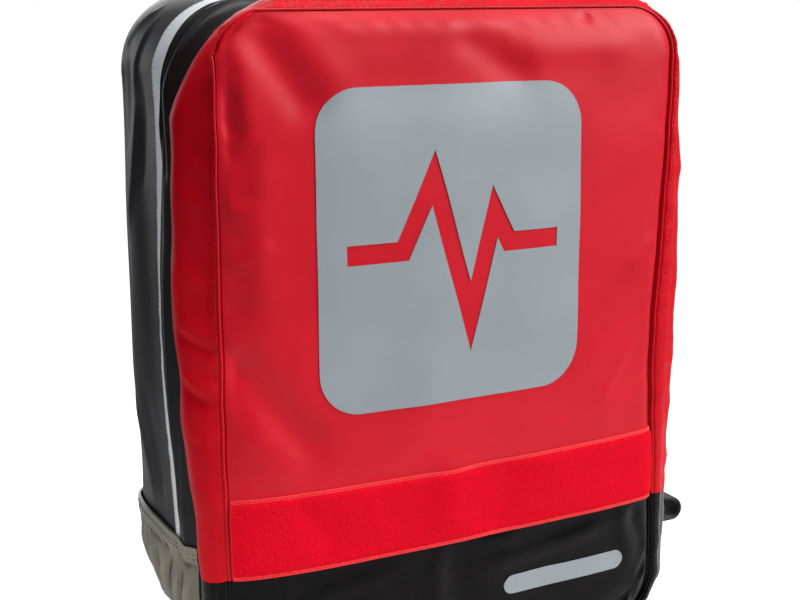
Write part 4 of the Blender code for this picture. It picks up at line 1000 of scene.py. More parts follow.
def panel_grid(z_values, inset, count):
    """x and z of a grid on the front panel, closer together near the seams."""
    f = np.linspace(-1, 1, count)
    u = np.sin(f * math.pi / 2) * 0.45 + f * 0.55
    z = np.repeat(z_values[:, None], count, axis=1)
    left, right = seam_half_widths(FRONT_ROW, z, inset)
    return np.where(u < 0, u * left, u * right), z


def eased(low, high, count):
    """Values from low to high, closer together towards both ends."""
    f = np.linspace(0.0, 1.0, count)
    return low + (high - low) * (0.45 * f + 0.55 * (0.5 - 0.5 * np.cos(math.pi * f)))


# How far the black cloth lies under the red one, and the loop tape: how far it laps over the joint,
# its height on the cloth, its wall, its woven edge and the height of its pile
PANEL_TUCK = 0.0004
LOOP_LAP, LOOP_LIFT, LOOP_WALL, LOOP_EDGE, PILE_HEIGHT = 0.0006, 0.0009, 0.0007, 0.0024, 0.0014
# How far its ground and pile are set in from the seams, the pile's round edge and its underside's height
LOOP_INSET, PILE_INSET, PILE_EDGE, PILE_ROOT = 0.0012, 0.0016, 0.0011, 0.0008


def make_front():
    """Front panel in both cloths with the loop tape across it.

    The pile's height is 1 less e to the minus distance from its edge over PILE_EDGE, and a fine swell.
    """
    sizes = section(np.array(float(FRONT_ROW)))
    top, low, joint = float(sizes[2]), float(sizes[3]), float(sizes[4])
    x, z = panel_grid(eased(joint, top - GAP, 170), GAP, 150)
    lay("front_panel_red_cloth", front_face(x, z), WALL, RED_TARPAULIN, "red_tarpaulin", "front_panel_red")
    x, z = panel_grid(eased(low + GAP, joint, 50), GAP, 150)
    lay("front_panel_black_cloth", front_face(x, z, -PANEL_TUCK), WALL, BLACK_TARPAULIN,
        "black_tarpaulin", "front_panel_black")

    foot = joint - LOOP_LAP
    head = joint + BAND_HEIGHT
    x, z = panel_grid(np.linspace(foot, head, 30), LOOP_INSET, 150)
    lay("loop_tape_ground", front_face(x, z, LOOP_LIFT), LOOP_WALL, RED_SELVEDGE,
        "red_loop_pile", "loop_band")
    x, z = panel_grid(np.linspace(foot + LOOP_EDGE, head - LOOP_EDGE, 42), PILE_INSET, 190)
    rim = np.minimum(z - foot - LOOP_EDGE, head - LOOP_EDGE - z)
    bulge = LOOP_LIFT + PILE_HEIGHT * (1 - np.exp(-rim / PILE_EDGE))
    bulge = bulge + 0.00016 * waves(x, z, 0.0046, 31)
    lay("loop_tape_pile", front_face(x, z, bulge), bulge[..., None] - PILE_ROOT, LOOP_PILE, "red_loop_pile")


def rounded_limit(offset, half, radius, reach):
    """Half height of a rounded rectangle at a distance from its upright middle line."""
    into = np.clip(np.abs(offset) - (half - radius), 0, radius)
    return reach - radius + np.sqrt(np.maximum(radius ** 2 - into ** 2, 0))


# Rounded square with a slot, and its slot's line as shares of its width and height
EMBLEM = {"width": 0.188, "height": 0.201, "radius": 0.028, "x": -0.010, "z": 0.301, "slot": 0.0062}
PULSE = (
    (-0.40, 0.00), (-0.20, 0.00), (-0.085, 0.22), (0.055, -0.23), (0.150, 0.10), (0.205, 0.00),
    (0.40, 0.00),
)
MARK = {"length": 0.100, "height": 0.014, "x": 0.082, "z": 0.060}
# Wall of the film, and how high its outer face lies on the panel, for the square and for the bar
FILM_WALL, FILM_LIFT, MARK_LIFT = 0.0005, 0.0006, 0.0004


def offset_line(points, distance):
    """A mitred line beside a polyline."""
    runs = unit(np.diff(points, axis=0))
    sides = np.stack([-runs[:, 1], runs[:, 0]], axis=-1)
    moved = [points[0] + sides[0] * distance]
    for i in range(1, len(points) - 1):
        mitre = unit(sides[i - 1] + sides[i])
        moved.append(points[i] + mitre * distance / (mitre @ sides[i]))
    moved.append(points[-1] + sides[-1] * distance)
    return np.array(moved)


def subdivide(line, counts):
    """Points along a polyline, with a number of steps for each of its runs."""
    parts = [line[i] + (line[i + 1] - line[i]) * (np.arange(n) / n)[:, None]
             for i, n in enumerate(counts)]
    return np.concatenate(parts + [line[-1:]])


def make_emblem():
    """Reflective rounded square with a heart-trace slot, and the plain bar below it.

    The square is two grids, from its lower edge up to the slot and from the slot to its upper edge.
    Its edge is a quarter circle at each corner, and the cells between the grids are left out.
    """
    trace = np.array(PULSE) * np.array([EMBLEM["width"], EMBLEM["height"]])
    slot_low, slot_high = (offset_line(trace, side * EMBLEM["slot"]) for side in SIDES)
    half, radius = EMBLEM["width"] / 2, EMBLEM["radius"]
    corner = radius * (1 - np.cos(np.linspace(0, math.pi / 2, 10)))
    left_x = -half + corner
    left_x = left_x[left_x < trace[0][0] - 0.001]
    slot = EMBLEM["slot"]
    left = np.stack([left_x, 0 * left_x], axis=1)
    right = np.stack([-left_x[::-1], 0 * left_x], axis=1)
    counts = [10, 20, 26, 18, 10, 10]
    low_line = np.concatenate([left - [0, slot], subdivide(slot_low, counts), right - [0, slot]])
    high_line = np.concatenate([left + [0, slot], subdivide(slot_high, counts), right + [0, slot]])
    edge_x = np.concatenate([left_x, subdivide(trace, counts)[:, 0], -left_x[::-1]])
    reach = rounded_limit(edge_x, half, radius, EMBLEM["height"] / 2)
    shares = np.linspace(0, 1, 42)[:, None, None]
    bottom = np.stack([edge_x, -reach], axis=-1)
    top = np.stack([edge_x, reach], axis=-1)
    flat = np.concatenate([bottom + (low_line - bottom) * shares, high_line + (top - high_line) * shares])
    keep = np.ones((flat.shape[0] - 1, flat.shape[1] - 1), bool)
    first, last = len(left_x), len(left_x) + sum(counts)
    keep[len(shares) - 1, first:last] = False
    film = front_face(flat[..., 0] + EMBLEM["x"], flat[..., 1] + EMBLEM["z"], FILM_LIFT)
    lay("emblem_film", film, FILM_WALL, REFLECTIVE, "reflective_grey", "emblem", keep=keep)

    half, reach = MARK["length"] / 2, MARK["height"] / 2
    ends = half - reach * (1 - np.cos(np.linspace(0, math.pi / 2, 12)))
    across = np.concatenate([-ends, np.linspace(-ends[-1], ends[-1], 52)[1:-1], ends[::-1]])
    limit = np.maximum(rounded_limit(across, half, reach, reach), 0.0003)
    shares = np.linspace(-1, 1, 12)[:, None]
    film = front_face(across + 0 * shares + MARK["x"], limit * shares + MARK["z"], MARK_LIFT)
    lay("plain_mark_film", film, FILM_WALL, REFLECTIVE, "reflective_grey", "plain_mark")


# Boot, trim and stitches

BOOT_FOLDS = (
    # y0, z0, y1, z1, width, rise, bow, in mm
    (6, 84, 22, 12, 2.2, 2.2, 2),
    (12, 84, 32, 8, 2.0, -3.0, 3),
    (20, 86, 44, 12, 2.4, 3.0, 3),
    (29, 86, 54, 14, 2.0, -3.2, -2),
    (40, 86, 62, 22, 2.6, 3.2, 2),
    (52, 88, 70, 24, 2.0, -3.0, 2),
    (64, 90, 78, 34, 2.8, 2.8, 2),
    (78, 90, 84, 30, 2.2, -2.4, 2),
    (92, 92, 92, 24, 3.2, 2.4, 2),
    (112, 88, 104, 36, 4, -1.8, 0),
    (24, 58, 90, 34, 4, 1.6, -6),
)


# The hem's height, how far it stands out, the groove under it, and how deep a crease of the boot may
# go before it would touch the gusset
HEM_HEIGHT, HEM_RISE, HEM_GROOVE, DEEPEST_CREASE = 0.0085, 0.0011, 0.0012, 0.0017
# The boot starts this far behind the valley and ends at this row position, a little inside the back
# seam's round edge. Its sides reach this far above the joint of the cloths.
BOOT_START, BOOT_LAST_ROW, BOOT_OVERLAP = 0.0008, 9.93, 0.0006


def hem_line(y):
    """Height of the boot's upper edge at a depth behind the valley."""
    return section(row_at_depth(y))[4]


def boot_relief(p):
    """Relief of the boot: creases and a swell on its sides below the hem, the hem as a raised edge
    with a groove under it, and puckers along the groove."""
    x, y, z = p[..., 0], p[..., 1], p[..., 2]
    side = soft_step(np.abs(x), 0.10, 0.15)
    total = side * folds(y, z, BOOT_FOLDS) + 0.0008 * side * waves(y, z, 0.040, 41, stretch=1.8)
    down = hem_line(y) - z
    hem = HEM_RISE * (1 - soft_step(down, HEM_HEIGHT - 0.0002, HEM_HEIGHT + 0.0006))
    hem = hem - HEM_GROOVE * bell(down - HEM_HEIGHT - 0.0012, 0.0009)
    pucker = 0.0003 * bell(down - HEM_HEIGHT, 0.004) * np.sin(y / 0.0021 + 2 * np.sin(y / 0.011))
    body = total * soft_step(z, 0.002, 0.03) * soft_step(down, HEM_HEIGHT, HEM_HEIGHT + 0.010)
    return body + (hem + pucker) * soft_step(np.abs(x), 0.02, 0.10)


def boot_cloth(t, q, lift):
    """Points and normals of the boot's outer face, lift above it: the skin, moved out by the boot's
    relief and wall and half of the gusset's own bulges, and cut off at the ground."""
    points = skin(t, q)
    normals = grid_normals(points)
    relief = np.maximum(boot_relief(points), -DEEPEST_CREASE) + np.maximum(main_relief(points), 0.0) * 0.5
    points = points + normals * (relief + GAP + BOOT_WALL)[..., None]
    points[..., 2] = np.maximum(points[..., 2], 0.0)
    normals = grid_normals(points)
    return points + normals * lift, normals


def make_boot():
    """Boot round the base of the main compartment, with its turned hem."""
    depths = np.linspace(BOOT_START, MAIN_DEPTH - 0.0004, 150)
    rows = np.append(row_at_depth(depths[:-1]), BOOT_LAST_ROW)
    t, q = np.meshgrid(rows, lower(-BOOT_OVERLAP), indexing="ij")
    boot = lay("boot_cloth", boot_cloth(t, q, 0.0), BOOT_WALL, BOOT_TARPAULIN, "boot_fabric", "boot")
    # The stored relief sets where the boot's painted shade and painted highlight fall
    note_relief(boot, boot_relief(skin(t, q)))


# How far the flap reaches before and behind the pocket's widest section
POCKET_FLAP_REACH, POCKET_FLAP_WALL = (0.009, 0.017), 0.0010


def make_pocket_flap():
    """Flap over the pocket's opening, on top of its gusset."""
    bulge = SIZES[2, 0]
    rows = row_at_depth(np.linspace(bulge - POCKET_FLAP_REACH[0], bulge + POCKET_FLAP_REACH[1], 16))
    across = np.linspace(5.0, 7.0, 90)
    flap = pocket_cloth(rows, across, GAP + POCKET_FLAP_WALL)
    lay("pocket_flap_cloth", flap, POCKET_FLAP_WALL, RED_TARPAULIN, "red_tarpaulin", "pocket_flap")


# Middle depth and height of the side loop, its place round the section, the height inside it, how far
# it stands out, the sag of its two runs and the lean of its round end
LOOP = {"y": 0.009, "z": 0.0595, "q": 2.3, "inside": 0.0172, "reach": 0.0565, "sag": 0.0022, "lean": 0.10}
# Half span, sewn foot, wall, height of the arch and middle depth of the grab handle
HANDLE = {"half": 0.056, "foot": 0.026, "wall": 0.0034, "rise": 0.030, "y": 0.086}
# Sewn boxes: how far they start from a webbing's end, half their width, their length on the handle and
# on the lower webbing, and how high their thread lies
BOX_INSET, BOX_HALF, HANDLE_BOX_LENGTH, TAIL_BOX_LENGTH, THREAD_LIFT = 0.003, 0.0095, 0.019, 0.020, 0.0002


def box_stitches(end, along, across, out, length):
    """Rows of a sewn box with one diagonal, which starts a little way in from a webbing's end."""
    marks = np.array([(0, -1), (1, -1), (1, 1), (0, 1), (0, -1), (1, 1)])
    corners = end + along * (BOX_INSET + length * marks[:, :1]) + across * (BOX_HALF * marks[:, 1:])
    return [(np.stack([p, q]), np.stack([out, out])) for p, q in zip(corners[:-1], corners[1:])]


def make_webbing():
    """Side loop and grab handle.

    The loop is two near-straight runs and a half circle, leaning a little. The handle's arch is 1 less
    the square of the place along it, to the power 0.8, between two flat feet.
    """
    turn = LOOP["inside"] / 2
    row = row_at_depth(LOOP["y"] + WEBBING_WIDTH / 2)
    root = float(skin(np.array(row), np.array(LOOP["q"]))[0]) + BOOT_WALL + 2 * GAP
    run = LOOP["reach"] - turn
    shares = np.linspace(0, 1, 12)[:-1]
    angles = np.linspace(math.pi / 2, -math.pi / 2, 22)
    line = [(run * s, turn + LOOP["sag"] * math.sin(math.pi * s)) for s in shares]
    line += [(run + turn * math.cos(a) - LOOP["lean"] * turn * math.sin(a), turn * math.sin(a))
             for a in angles]
    line += [(run * s, -turn) for s in shares[::-1]]
    path = np.array([(root + x, LOOP["y"], LOOP["z"] + z) for x, z in line])
    planar_band("side_loop_webbing", path, FACING_BACK, WEBBING_WIDTH, WEBBING_WALL, "side_loop")

    half, foot, wall = HANDLE["half"], HANDLE["foot"], HANDLE["wall"]
    base_z = SIZES[7, 2] + GAP + wall / 2
    s = np.linspace(-1, 1, 61)
    arch = np.stack([half * s, base_z + HANDLE["rise"] * (1 - s * s) ** 0.8], axis=1)
    lead = np.stack([np.linspace(-half - foot, -half, 8)[:-1], np.full(7, base_z)], axis=1)
    line = np.concatenate([lead, arch, lead[::-1] * [-1, 1]])
    path = np.stack([line[:, 0], np.full(len(line), HANDLE["y"]), line[:, 1]], axis=1)
    planar_band("grab_handle_webbing", path, FACING_BACK, WEBBING_WIDTH, wall, "grab_handle")
    runs = []
    for side in SIDES:
        end = np.array([side * (half + foot), HANDLE["y"], base_z + wall / 2 + THREAD_LIFT])
        runs += box_stitches(end, np.array([-side, 0.0, 0.0]), FACING_BACK, UPWARD, HANDLE_BOX_LENGTH)
    ride(stitches("grab_handle_stitches", runs, GREY_THREAD), "webbing_black")


# Row positions of the stitches beside the front seam, along the pocket's top and beside the back seam
SEAM_ROW, TOP_SEAM_ROW, BACK_SEAM_ROW = 0.36, 0.97, 9.83
# How far the rows lie above the joint and below the tape's head, before the strip's rear edge, and below
# the hem's edge
TAPE_SEAMS, STRIP_SEAM, HEM_SEAMS = (0.0008, 0.0013), 0.0014, (0.0018, 0.0070)


def make_stitches():
    """Rows of stitches along the seams, hems and tapes, each along a line of its cloth."""
    joint = float(section(np.array(0.0))[4])
    red = [cloth_line(pocket_cloth, SEAM_ROW, 0.02, upper(GAP), 0.0),
           cloth_line(pocket_cloth, TOP_SEAM_ROW, 0.02, np.linspace(5.05, 7.0, 120), 0.0)]
    ride(stitches("front_seam_stitches_red", red, RED_THREAD), "red_tarpaulin")
    black = [cloth_line(pocket_cloth, SEAM_ROW, 0.02, lower(GAP), 0.0)]
    ride(stitches("front_seam_stitches_black", black, BLACK_THREAD), "black_tarpaulin")
    above = (ROUND >= 3.05) & (ROUND <= 8.95)
    back = [cloth_line(main_cloth, BACK_SEAM_ROW, 0.03, ROUND[above], 0.0)]
    ride(stitches("back_seam_stitches", back, GREY_THREAD), "black_fabric")
    tape = []
    for height in (joint + TAPE_SEAMS[0], joint + BAND_HEIGHT - TAPE_SEAMS[1]):
        x, z = panel_grid(np.array([height]), 0.004, 200)
        points, normals = front_face(x, z, LOOP_LIFT)
        tape.append((points[0], normals[0]))
    ride(stitches("loop_tape_stitches", tape, RED_THREAD, pitch=0.0034, length=0.0026, radius=0.00026),
         "red_loop_pile")
    around = upper(0.002)
    rear = strip_edges(around)[0]
    beside = np.array([[-0.0005], [0.0], [0.0005]])
    points, normals = trim_cloth(rear - STRIP_SEAM + beside, around, TAPE_LIFT + THREAD_LIFT / 2)
    ride(stitches("strip_stitches", [(points[1], normals[1])], PALE_THREAD,
                  pitch=0.0036, length=0.0027, radius=0.00016), "reflective_grey")
    rows = row_at_depth(np.linspace(0.0015, MAIN_DEPTH - 0.006, 90))
    hems = []
    for drop in HEM_SEAMS:
        for side in SIDES:
            offsets = 3.0 - (drop + np.array([0.0006, 0.0, -0.0006])) / (SIZES[3, 4] - SIZES[3, 7])
            t, q = np.meshgrid(rows, np.mod(side * offsets, 12.0), indexing="ij")
            points, normals = boot_cloth(t, q, 0.0)
            hems.append((points[:, 1], normals[:, 1]))
    ride(stitches("boot_hem_stitches", hems, GREY_THREAD, pitch=0.0040, length=0.0030, radius=0.0003),
         "boot_fabric")


# Back, straps and fittings

# Back pad: size, rim, thickness over the rim, its round edge, the heights of its quilting lines, and
# how deep these and the air channel go as shares of the thickness
PAD = {"half": 0.098, "low": 0.140, "high": 0.352, "corner": 0.034, "rim": 0.0016, "wall": 0.0088,
       "round": 0.011, "quilting": (0.212, 0.282), "sewn": 0.42, "channel": 0.82}
PAD_PIPING, SEAM_PIPING = 0.0019, 0.0016
# The back's cloth: its clearance inside the gusset, its setback from the back seam and its swell
BACK_CLEARANCE, BACK_SETBACK, BACK_SWELL = 0.0006, 0.0008, 0.0016
# How far the pad's underside lies inside the back seam, its piping behind it and its wall's swell
PAD_SINK, PIPING_STAND, PAD_SWELL = 0.0012, 0.0010, 0.0004
STRAP_WIDTH, STRAP_WALL, STRAP_STAND = 0.064, 0.012, 0.030
STRAP_TOP_X, STRAP_END_X = 0.056, 0.098
STRAP_TOP, STRAP_DROP = PACK_HEIGHT - 0.036, 0.208
# Route of a strap from its top end to its foot, as shares of its length, its spread, its drop and
# how far it stands off the back
STRAP_ROUTE = (
    # along, across, down, stand
    (0.00, 0.00, 0.00, 0.00),
    (0.20, 0.03, 0.19, 0.00),
    (0.42, 0.18, 0.41, 0.52),
    (0.66, 0.47, 0.66, 0.96),
    (0.86, 0.80, 0.86, 1.00),
    (1.00, 1.00, 1.00, 0.90),
)
BUCKLE_BARS = (
    # start and end of each bar along the buckle, and its share of the wall
    (0.0, 0.0040, 1.0), (0.0130, 0.0170, 0.6), (0.0220, 0.0260, 1.0),
)
BUCKLE_TILT, BUCKLE_RAIL, BUCKLE_WALL, BUCKLE_SIDE_GAP = math.radians(9.0), 0.0036, 0.0050, 0.0008
BUCKLE_EDGE = 0.0007
TAB_LENGTH, TAIL_LENGTH, ANCHOR_LENGTH, ANCHOR_REACH = 0.009, 0.062, 0.028, 0.128


def flat_profile(width, wall):
    """Cross-section of a flat band with round edges."""
    w, h = width / 2, wall / 2
    turn = np.linspace(-math.pi / 2, math.pi / 2, 5)
    right = [(w - h + h * math.cos(a), h * math.sin(a)) for a in turn]
    left = [(-w + h - h * math.cos(a), -h * math.sin(a)) for a in turn]
    return right + [(0.0, h)] + left + [(0.0, -h)]


def planar_band(name, path, across, width, wall, *nodes):
    """Band of webbing along a path that stays in the plane square to across."""
    path = np.asarray(path)
    normals = unit(np.cross(across, np.gradient(path, axis=0)))
    across = np.repeat(np.asarray(across)[None], len(path), axis=0)
    return ride(carry(name, path, normals, across, flat_profile(width, wall), BLACK_WEBBING),
                "webbing_black", *nodes)


BACK_FOLDS = (
    # x0, z0, x1, z1, width, rise, bow, in mm
    (-128, 150, -108, 90, 5, 1.6, 3),
    (128, 160, 104, 84, 5, 1.6, -3),
    (-40, 62, 50, 70, 6, 1.3, 4),
    (-60, 90, -20, 128, 5, 1.2, -3),
    (70, 118, 30, 70, 5, -1.2, 3),
    (-134, 330, -116, 400, 5, 1.5, 3),
    (134, 320, 118, 396, 5, 1.5, -3),
)


def make_back_panel():
    """Cloth of the back, its mesh pad and the piping round both.

    The pad's thickness is a quarter round from its edge, times a bell-shaped air channel down its
    middle, times two bell-shaped quilting lines across it.
    """
    top, low = (float(v) for v in section(np.array(float(BACK_ROW)))[2:4])
    inset = WALL + BACK_CLEARANCE
    z = np.repeat(eased(low + inset, top - inset, 70)[:, None], 60, axis=1)
    left, right = seam_half_widths(BACK_ROW, z, inset)
    u = np.linspace(-1, 1, 60)
    x = np.where(u < 0, u * left, u * right)
    rim = np.minimum(np.minimum(left + x, right - x), np.minimum(z - low, top - z))
    relief = BACK_SWELL * waves(x, z, 0.075, 41) * soft_step(rim, 0.004, 0.03)
    relief = relief + folds(x, z, BACK_FOLDS) * soft_step(rim, 0.003, 0.012)
    points = np.stack([x, MAIN_DEPTH - BACK_SETBACK + relief, z], axis=-1)
    ride(sheet("back_panel_cloth", points, grid_normals(points), WALL, BLACK_POLYESTER),
         "black_fabric", "back_panel")

    middle, reach = (PAD["low"] + PAD["high"]) / 2, (PAD["high"] - PAD["low"]) / 2
    corner = PAD["corner"]
    a = np.linspace(-1, 1, 90)
    x = np.repeat((PAD["half"] * np.sin(a * math.pi / 2))[None, :], 90, axis=0)
    limit = rounded_limit(x, PAD["half"], corner, reach)
    u = np.sin(np.linspace(-1, 1, 90) * math.pi / 2)[:, None]
    z = middle + u * limit
    edge = np.minimum(limit * (1 - np.abs(u)), PAD["half"] - np.abs(x))
    round_edge = np.sqrt(1 - (1 - np.clip(edge / PAD["round"], 0, 1)) ** 2)
    channel = 1 - PAD["channel"] * bell(x, 0.0075)
    lines = sum(bell(z - height, 0.0045) for height in PAD["quilting"])
    quilt = 1 - PAD["sewn"] * lines
    wall = PAD["rim"] + PAD["wall"] * round_edge * channel * quilt
    wall = wall + PAD_SWELL * waves(x, z, 0.05, 43) * round_edge
    outer = np.stack([x, MAIN_DEPTH + wall, z], axis=-1)
    inner = np.stack([x, MAIN_DEPTH - PAD_SINK + 0 * wall, z], axis=-1)
    pad = ride(wrap("back_pad_mesh", outer, inner, SPACER_MESH), "black_fabric")

    turn = np.linspace(0, math.pi / 2, 13)
    corners = [(1, 1), (-1, 1), (-1, -1), (1, -1)]
    line = [(sx * (PAD["half"] - corner) + corner * np.cos(turn + k * math.pi / 2),
             sz * (reach - corner) + corner * np.sin(turn + k * math.pi / 2))
            for k, (sx, sz) in enumerate(corners)]
    x, z = (np.concatenate([part[c] for part in line]) for c in range(2))
    path = np.stack([x, np.full(len(x), MAIN_DEPTH + PIPING_STAND), middle + z], axis=1)
    path = resample(np.concatenate([path, path[:1]]), 0.003)[:-1]
    pipe("back_pad_piping", path, PAD_PIPING)
    around = np.linspace(0, 12, 401)[:-1]
    pipe("back_seam_piping", skin(np.full_like(around, BACK_ROW), around) + 0.0004 * FACING_BACK, SEAM_PIPING)


def pipe(name, path, radius):
    """Closed round piping in the back's plane along a path."""
    ahead, behind = np.roll(path, -1, axis=0), np.roll(path, 1, axis=0)
    normals = np.repeat(FACING_BACK[None], len(path), axis=0)
    across = unit(np.cross(normals, ahead - behind))
    ring = [(radius * math.cos(a), radius * math.sin(a)) for a in np.arange(8) * math.pi / 4]
    return ride(carry(name, path, normals, across, ring, BLACK_POLYESTER, closed=True), "black_fabric")


def strap_route(side, count):
    """Middle line of a padded strap, a smooth curve through STRAP_ROUTE, its directions and normals."""
    rows = np.array(STRAP_ROUTE)
    f = np.linspace(0.0, 1.0, count)
    x = STRAP_TOP_X + (STRAP_END_X - STRAP_TOP_X) * smooth_curve(rows[:, 0], rows[:, 1], f)
    z = STRAP_TOP - STRAP_DROP * smooth_curve(rows[:, 0], rows[:, 2], f)
    stand = STRAP_STAND * smooth_curve(rows[:, 0], rows[:, 3], f)
    path = np.stack([side * x, MAIN_DEPTH + GAP + STRAP_WALL / 2 + stand, z], axis=-1)
    tangents = unit(np.gradient(path, axis=0))
    normals = unit(FACING_BACK - tangents * (tangents @ FACING_BACK)[:, None])
    return path, tangents, normals


# The folded binding's half sizes, how far in it lies, and the rows of stitches beside a webbing's edge
BINDING_HALF, BINDING_INSET, WEBBING_SEAM = (0.0034, 0.0030), 0.0012, 0.0105
# The strap's shape: how much narrower it is at the buckle, thinner at its top and at its foot, and the
# height of its edges, all as shares; the wall of the webbing on it and the height of that and its thread
STRAP_NARROWING, STRAP_THIN_TOP, STRAP_THIN_FOOT, STRAP_EDGE = 0.42, 0.70, 0.55, 0.22
STRAP_WEB_WALL, STRAP_WEB_LIFT, STRAP_THREAD_LIFT = 0.0016, 0.0006, 0.0009


def make_strap(side, label):
    """Padded strap with its binding and webbing, and what hangs at its lower end.

    Its section rises as the square root of 1 less the fourth power of the place across. Its width
    narrows to the buckle, and its wall is thin at the top, under the yoke, and at the foot.
    """
    strap = "shoulder_strap_" + label
    path, tangents, normals = strap_route(side, 110)
    across = np.cross(tangents, normals)
    f = np.linspace(0, 1, len(path))
    width = STRAP_WIDTH / 2 * (1 - STRAP_NARROWING * soft_step(f, 0.80, 1.0))
    thin_top = STRAP_THIN_TOP * (1 - soft_step(f, 0.10, 0.24))
    full = (1 - thin_top) * (1 - STRAP_THIN_FOOT * soft_step(f, 0.93, 1.0))
    path = path - normals * (thin_top * STRAP_WALL / 2)[:, None]
    wall = STRAP_WALL / 2 * full * (1 + 0.05 * np.sin(f * 40) + 0.04 * np.sin(f * 23 + 1))
    a = np.sin(np.linspace(-1, 1, 25) * math.pi / 2)
    crown = STRAP_EDGE + (1 - STRAP_EDGE) * np.sqrt(np.clip(1 - a ** 4, 0, 1))
    over = np.stack([width[:, None] * a, wall[:, None] * crown], axis=-1)
    under = np.stack([width[:, None] * a[::-1], -wall[:, None] * crown[::-1]], axis=-1)
    body = carry(strap + "_pad", path, normals, across, np.concatenate([over, under], axis=1),
                 SPACER_MESH, smooth=50.0)
    ride(body, "black_fabric", strap)

    # The binding is a tape folded over the strap's edge, down one side, round the end and up again.
    low, high = (path + across * (s * (width - BINDING_INSET))[:, None] for s in SIDES)
    end = low[-1] + (high[-1] - low[-1]) * np.linspace(0, 1, 12)[1:-1, None]
    line = np.concatenate([low, end + tangents[-1] * 0.0008, high[::-1]])
    line_normals = np.concatenate([normals, np.repeat(normals[-1:], len(end), axis=0), normals[::-1]])
    side_way = unit(np.cross(line_normals, np.gradient(line, axis=0)))
    fold = [(BINDING_HALF[0] * math.cos(t), BINDING_HALF[1] * math.sin(t))
            for t in np.arange(12) * math.pi / 6]
    ride(carry(strap + "_binding", line, line_normals, side_way, fold, BLACK_POLYESTER), "black_fabric")

    face = path + normals * (wall + STRAP_WEB_LIFT)[:, None]
    band = slice(4, -2)
    ride(carry(strap + "_webbing", face[band], normals[band], across[band],
               flat_profile(WEBBING_WIDTH, STRAP_WEB_WALL), BLACK_WEBBING), "webbing_black")
    sewn = slice(6, -4)
    seams = [(face[sewn] + across[sewn] * s * WEBBING_SEAM + normals[sewn] * STRAP_THREAD_LIFT,
              normals[sewn]) for s in SIDES]
    ride(stitches(strap + "_stitches", seams, GREY_THREAD), "webbing_black")
    make_fittings(label, path[-1], tangents[-1])


def make_fittings(label, end, tangent):
    """Ladder-lock buckle at a strap's end, the tab that holds it and the webbing down to the base.

    The buckle is a grid of marks across and along it, with two windows left out and round edges from
    a Bevel. The webbing turns round its middle bar, then runs down on a cubic to its anchor.
    """
    run = tangent * IN_BACK_PLANE
    down = run / np.linalg.norm(run)
    across = np.cross(down, FACING_BACK)
    along = down * math.cos(BUCKLE_TILT) - FACING_BACK * math.sin(BUCKLE_TILT)
    normal = FACING_BACK * math.cos(BUCKLE_TILT) + down * math.sin(BUCKLE_TILT)
    start = end + along * TAB_LENGTH
    bar = BUCKLE_WALL / 2
    rides = bar + GAP + WEBBING_WALL / 2
    window = WEBBING_WIDTH / 2 + BUCKLE_SIDE_GAP

    side_marks = np.array([-window - BUCKLE_RAIL, -window, window, window + BUCKLE_RAIL])
    run_marks = np.array([s for b in BUCKLE_BARS for s in b[:2]])
    half_wall = np.array([bar * b[2] for b in BUCKLE_BARS for _ in range(2)])
    keep = np.ones((5, 3), bool)
    keep[1, 1] = keep[3, 1] = False
    heights = np.stack([0 * half_wall + bar, half_wall, half_wall, 0 * half_wall + bar], axis=1)
    flat = start + along * run_marks[:, None, None] + across * side_marks[None, :, None]
    buckle = wrap("strap_buckle_" + label + "_moulding", flat + normal * heights[..., None],
                  flat - normal * heights[..., None], ACETAL, keep=keep)
    bevel = buckle.modifiers.new("rounded_edges", "BEVEL")
    bevel.width = BUCKLE_EDGE
    bevel.segments = 2
    bevel.limit_method = "ANGLE"
    ride(buckle, "black_plastic", "strap_buckle_" + label)

    turn = np.linspace(math.pi / 2, -math.pi / 2, 9)
    hold = BUCKLE_BARS[0][1] - 2 * GAP
    tab = [(GAP - TAB_LENGTH, rides), (-TAB_LENGTH / 2, rides)]
    tab += [(hold + rides * math.cos(a), rides * math.sin(a)) for a in turn]
    tab += [(-TAB_LENGTH / 2, -rides), (GAP - TAB_LENGTH, -rides)]
    planar_band("buckle_tab_" + label + "_band", [start + along * s + normal * n for s, n in tab], across,
                WEBBING_WIDTH, WEBBING_WALL, "buckle_tab_" + label)

    centre = (BUCKLE_BARS[1][0] + BUCKLE_BARS[1][1]) / 2
    clear = BUCKLE_BARS[2][1] - centre + WEBBING_WALL
    web = [(centre + TAIL_LENGTH, rides * 1.6), (centre + TAIL_LENGTH * 0.6, rides * 1.3),
           (centre + clear, rides), (centre + clear / 2, rides)]
    web += [(centre - rides * math.cos(a), rides * math.sin(a)) for a in turn]
    web += [(centre + clear / 2, -rides), (centre + clear, -rides)]
    web_path = [start + along * s + normal * n for s, n in web]
    lift_off = web_path[-1]
    anchor = end + down * ANCHOR_REACH
    anchor[1] = MAIN_DEPTH + GAP + WEBBING_WALL / 2
    landing = anchor - down * ANCHOR_LENGTH
    reach = np.linalg.norm((landing - lift_off) * IN_BACK_PLANE)
    for f in np.linspace(0.0, 1.0, 26)[1:]:
        ease = [(1 + 2 * f) * (1 - f) ** 2, f * (1 - f) ** 2, f * f * (3 - 2 * f), f * f * (f - 1)]
        web_path.append(lift_off * ease[0] + along * reach * ease[1] + landing * ease[2]
                        + down * reach * ease[3])
    web_path += [anchor - down * ANCHOR_LENGTH * s for s in (0.66, 0.33, 0.0)]
    planar_band("lower_webbing_" + label + "_band", web_path, across, WEBBING_WIDTH, WEBBING_WALL,
                "lower_webbing_" + label)
    sewn_end = anchor + FACING_BACK * (WEBBING_WALL / 2 + THREAD_LIFT)
    runs = box_stitches(sewn_end, -down, across, FACING_BACK, TAIL_BOX_LENGTH)
    ride(stitches("lower_webbing_" + label + "_stitches", runs, GREY_THREAD), "webbing_black")


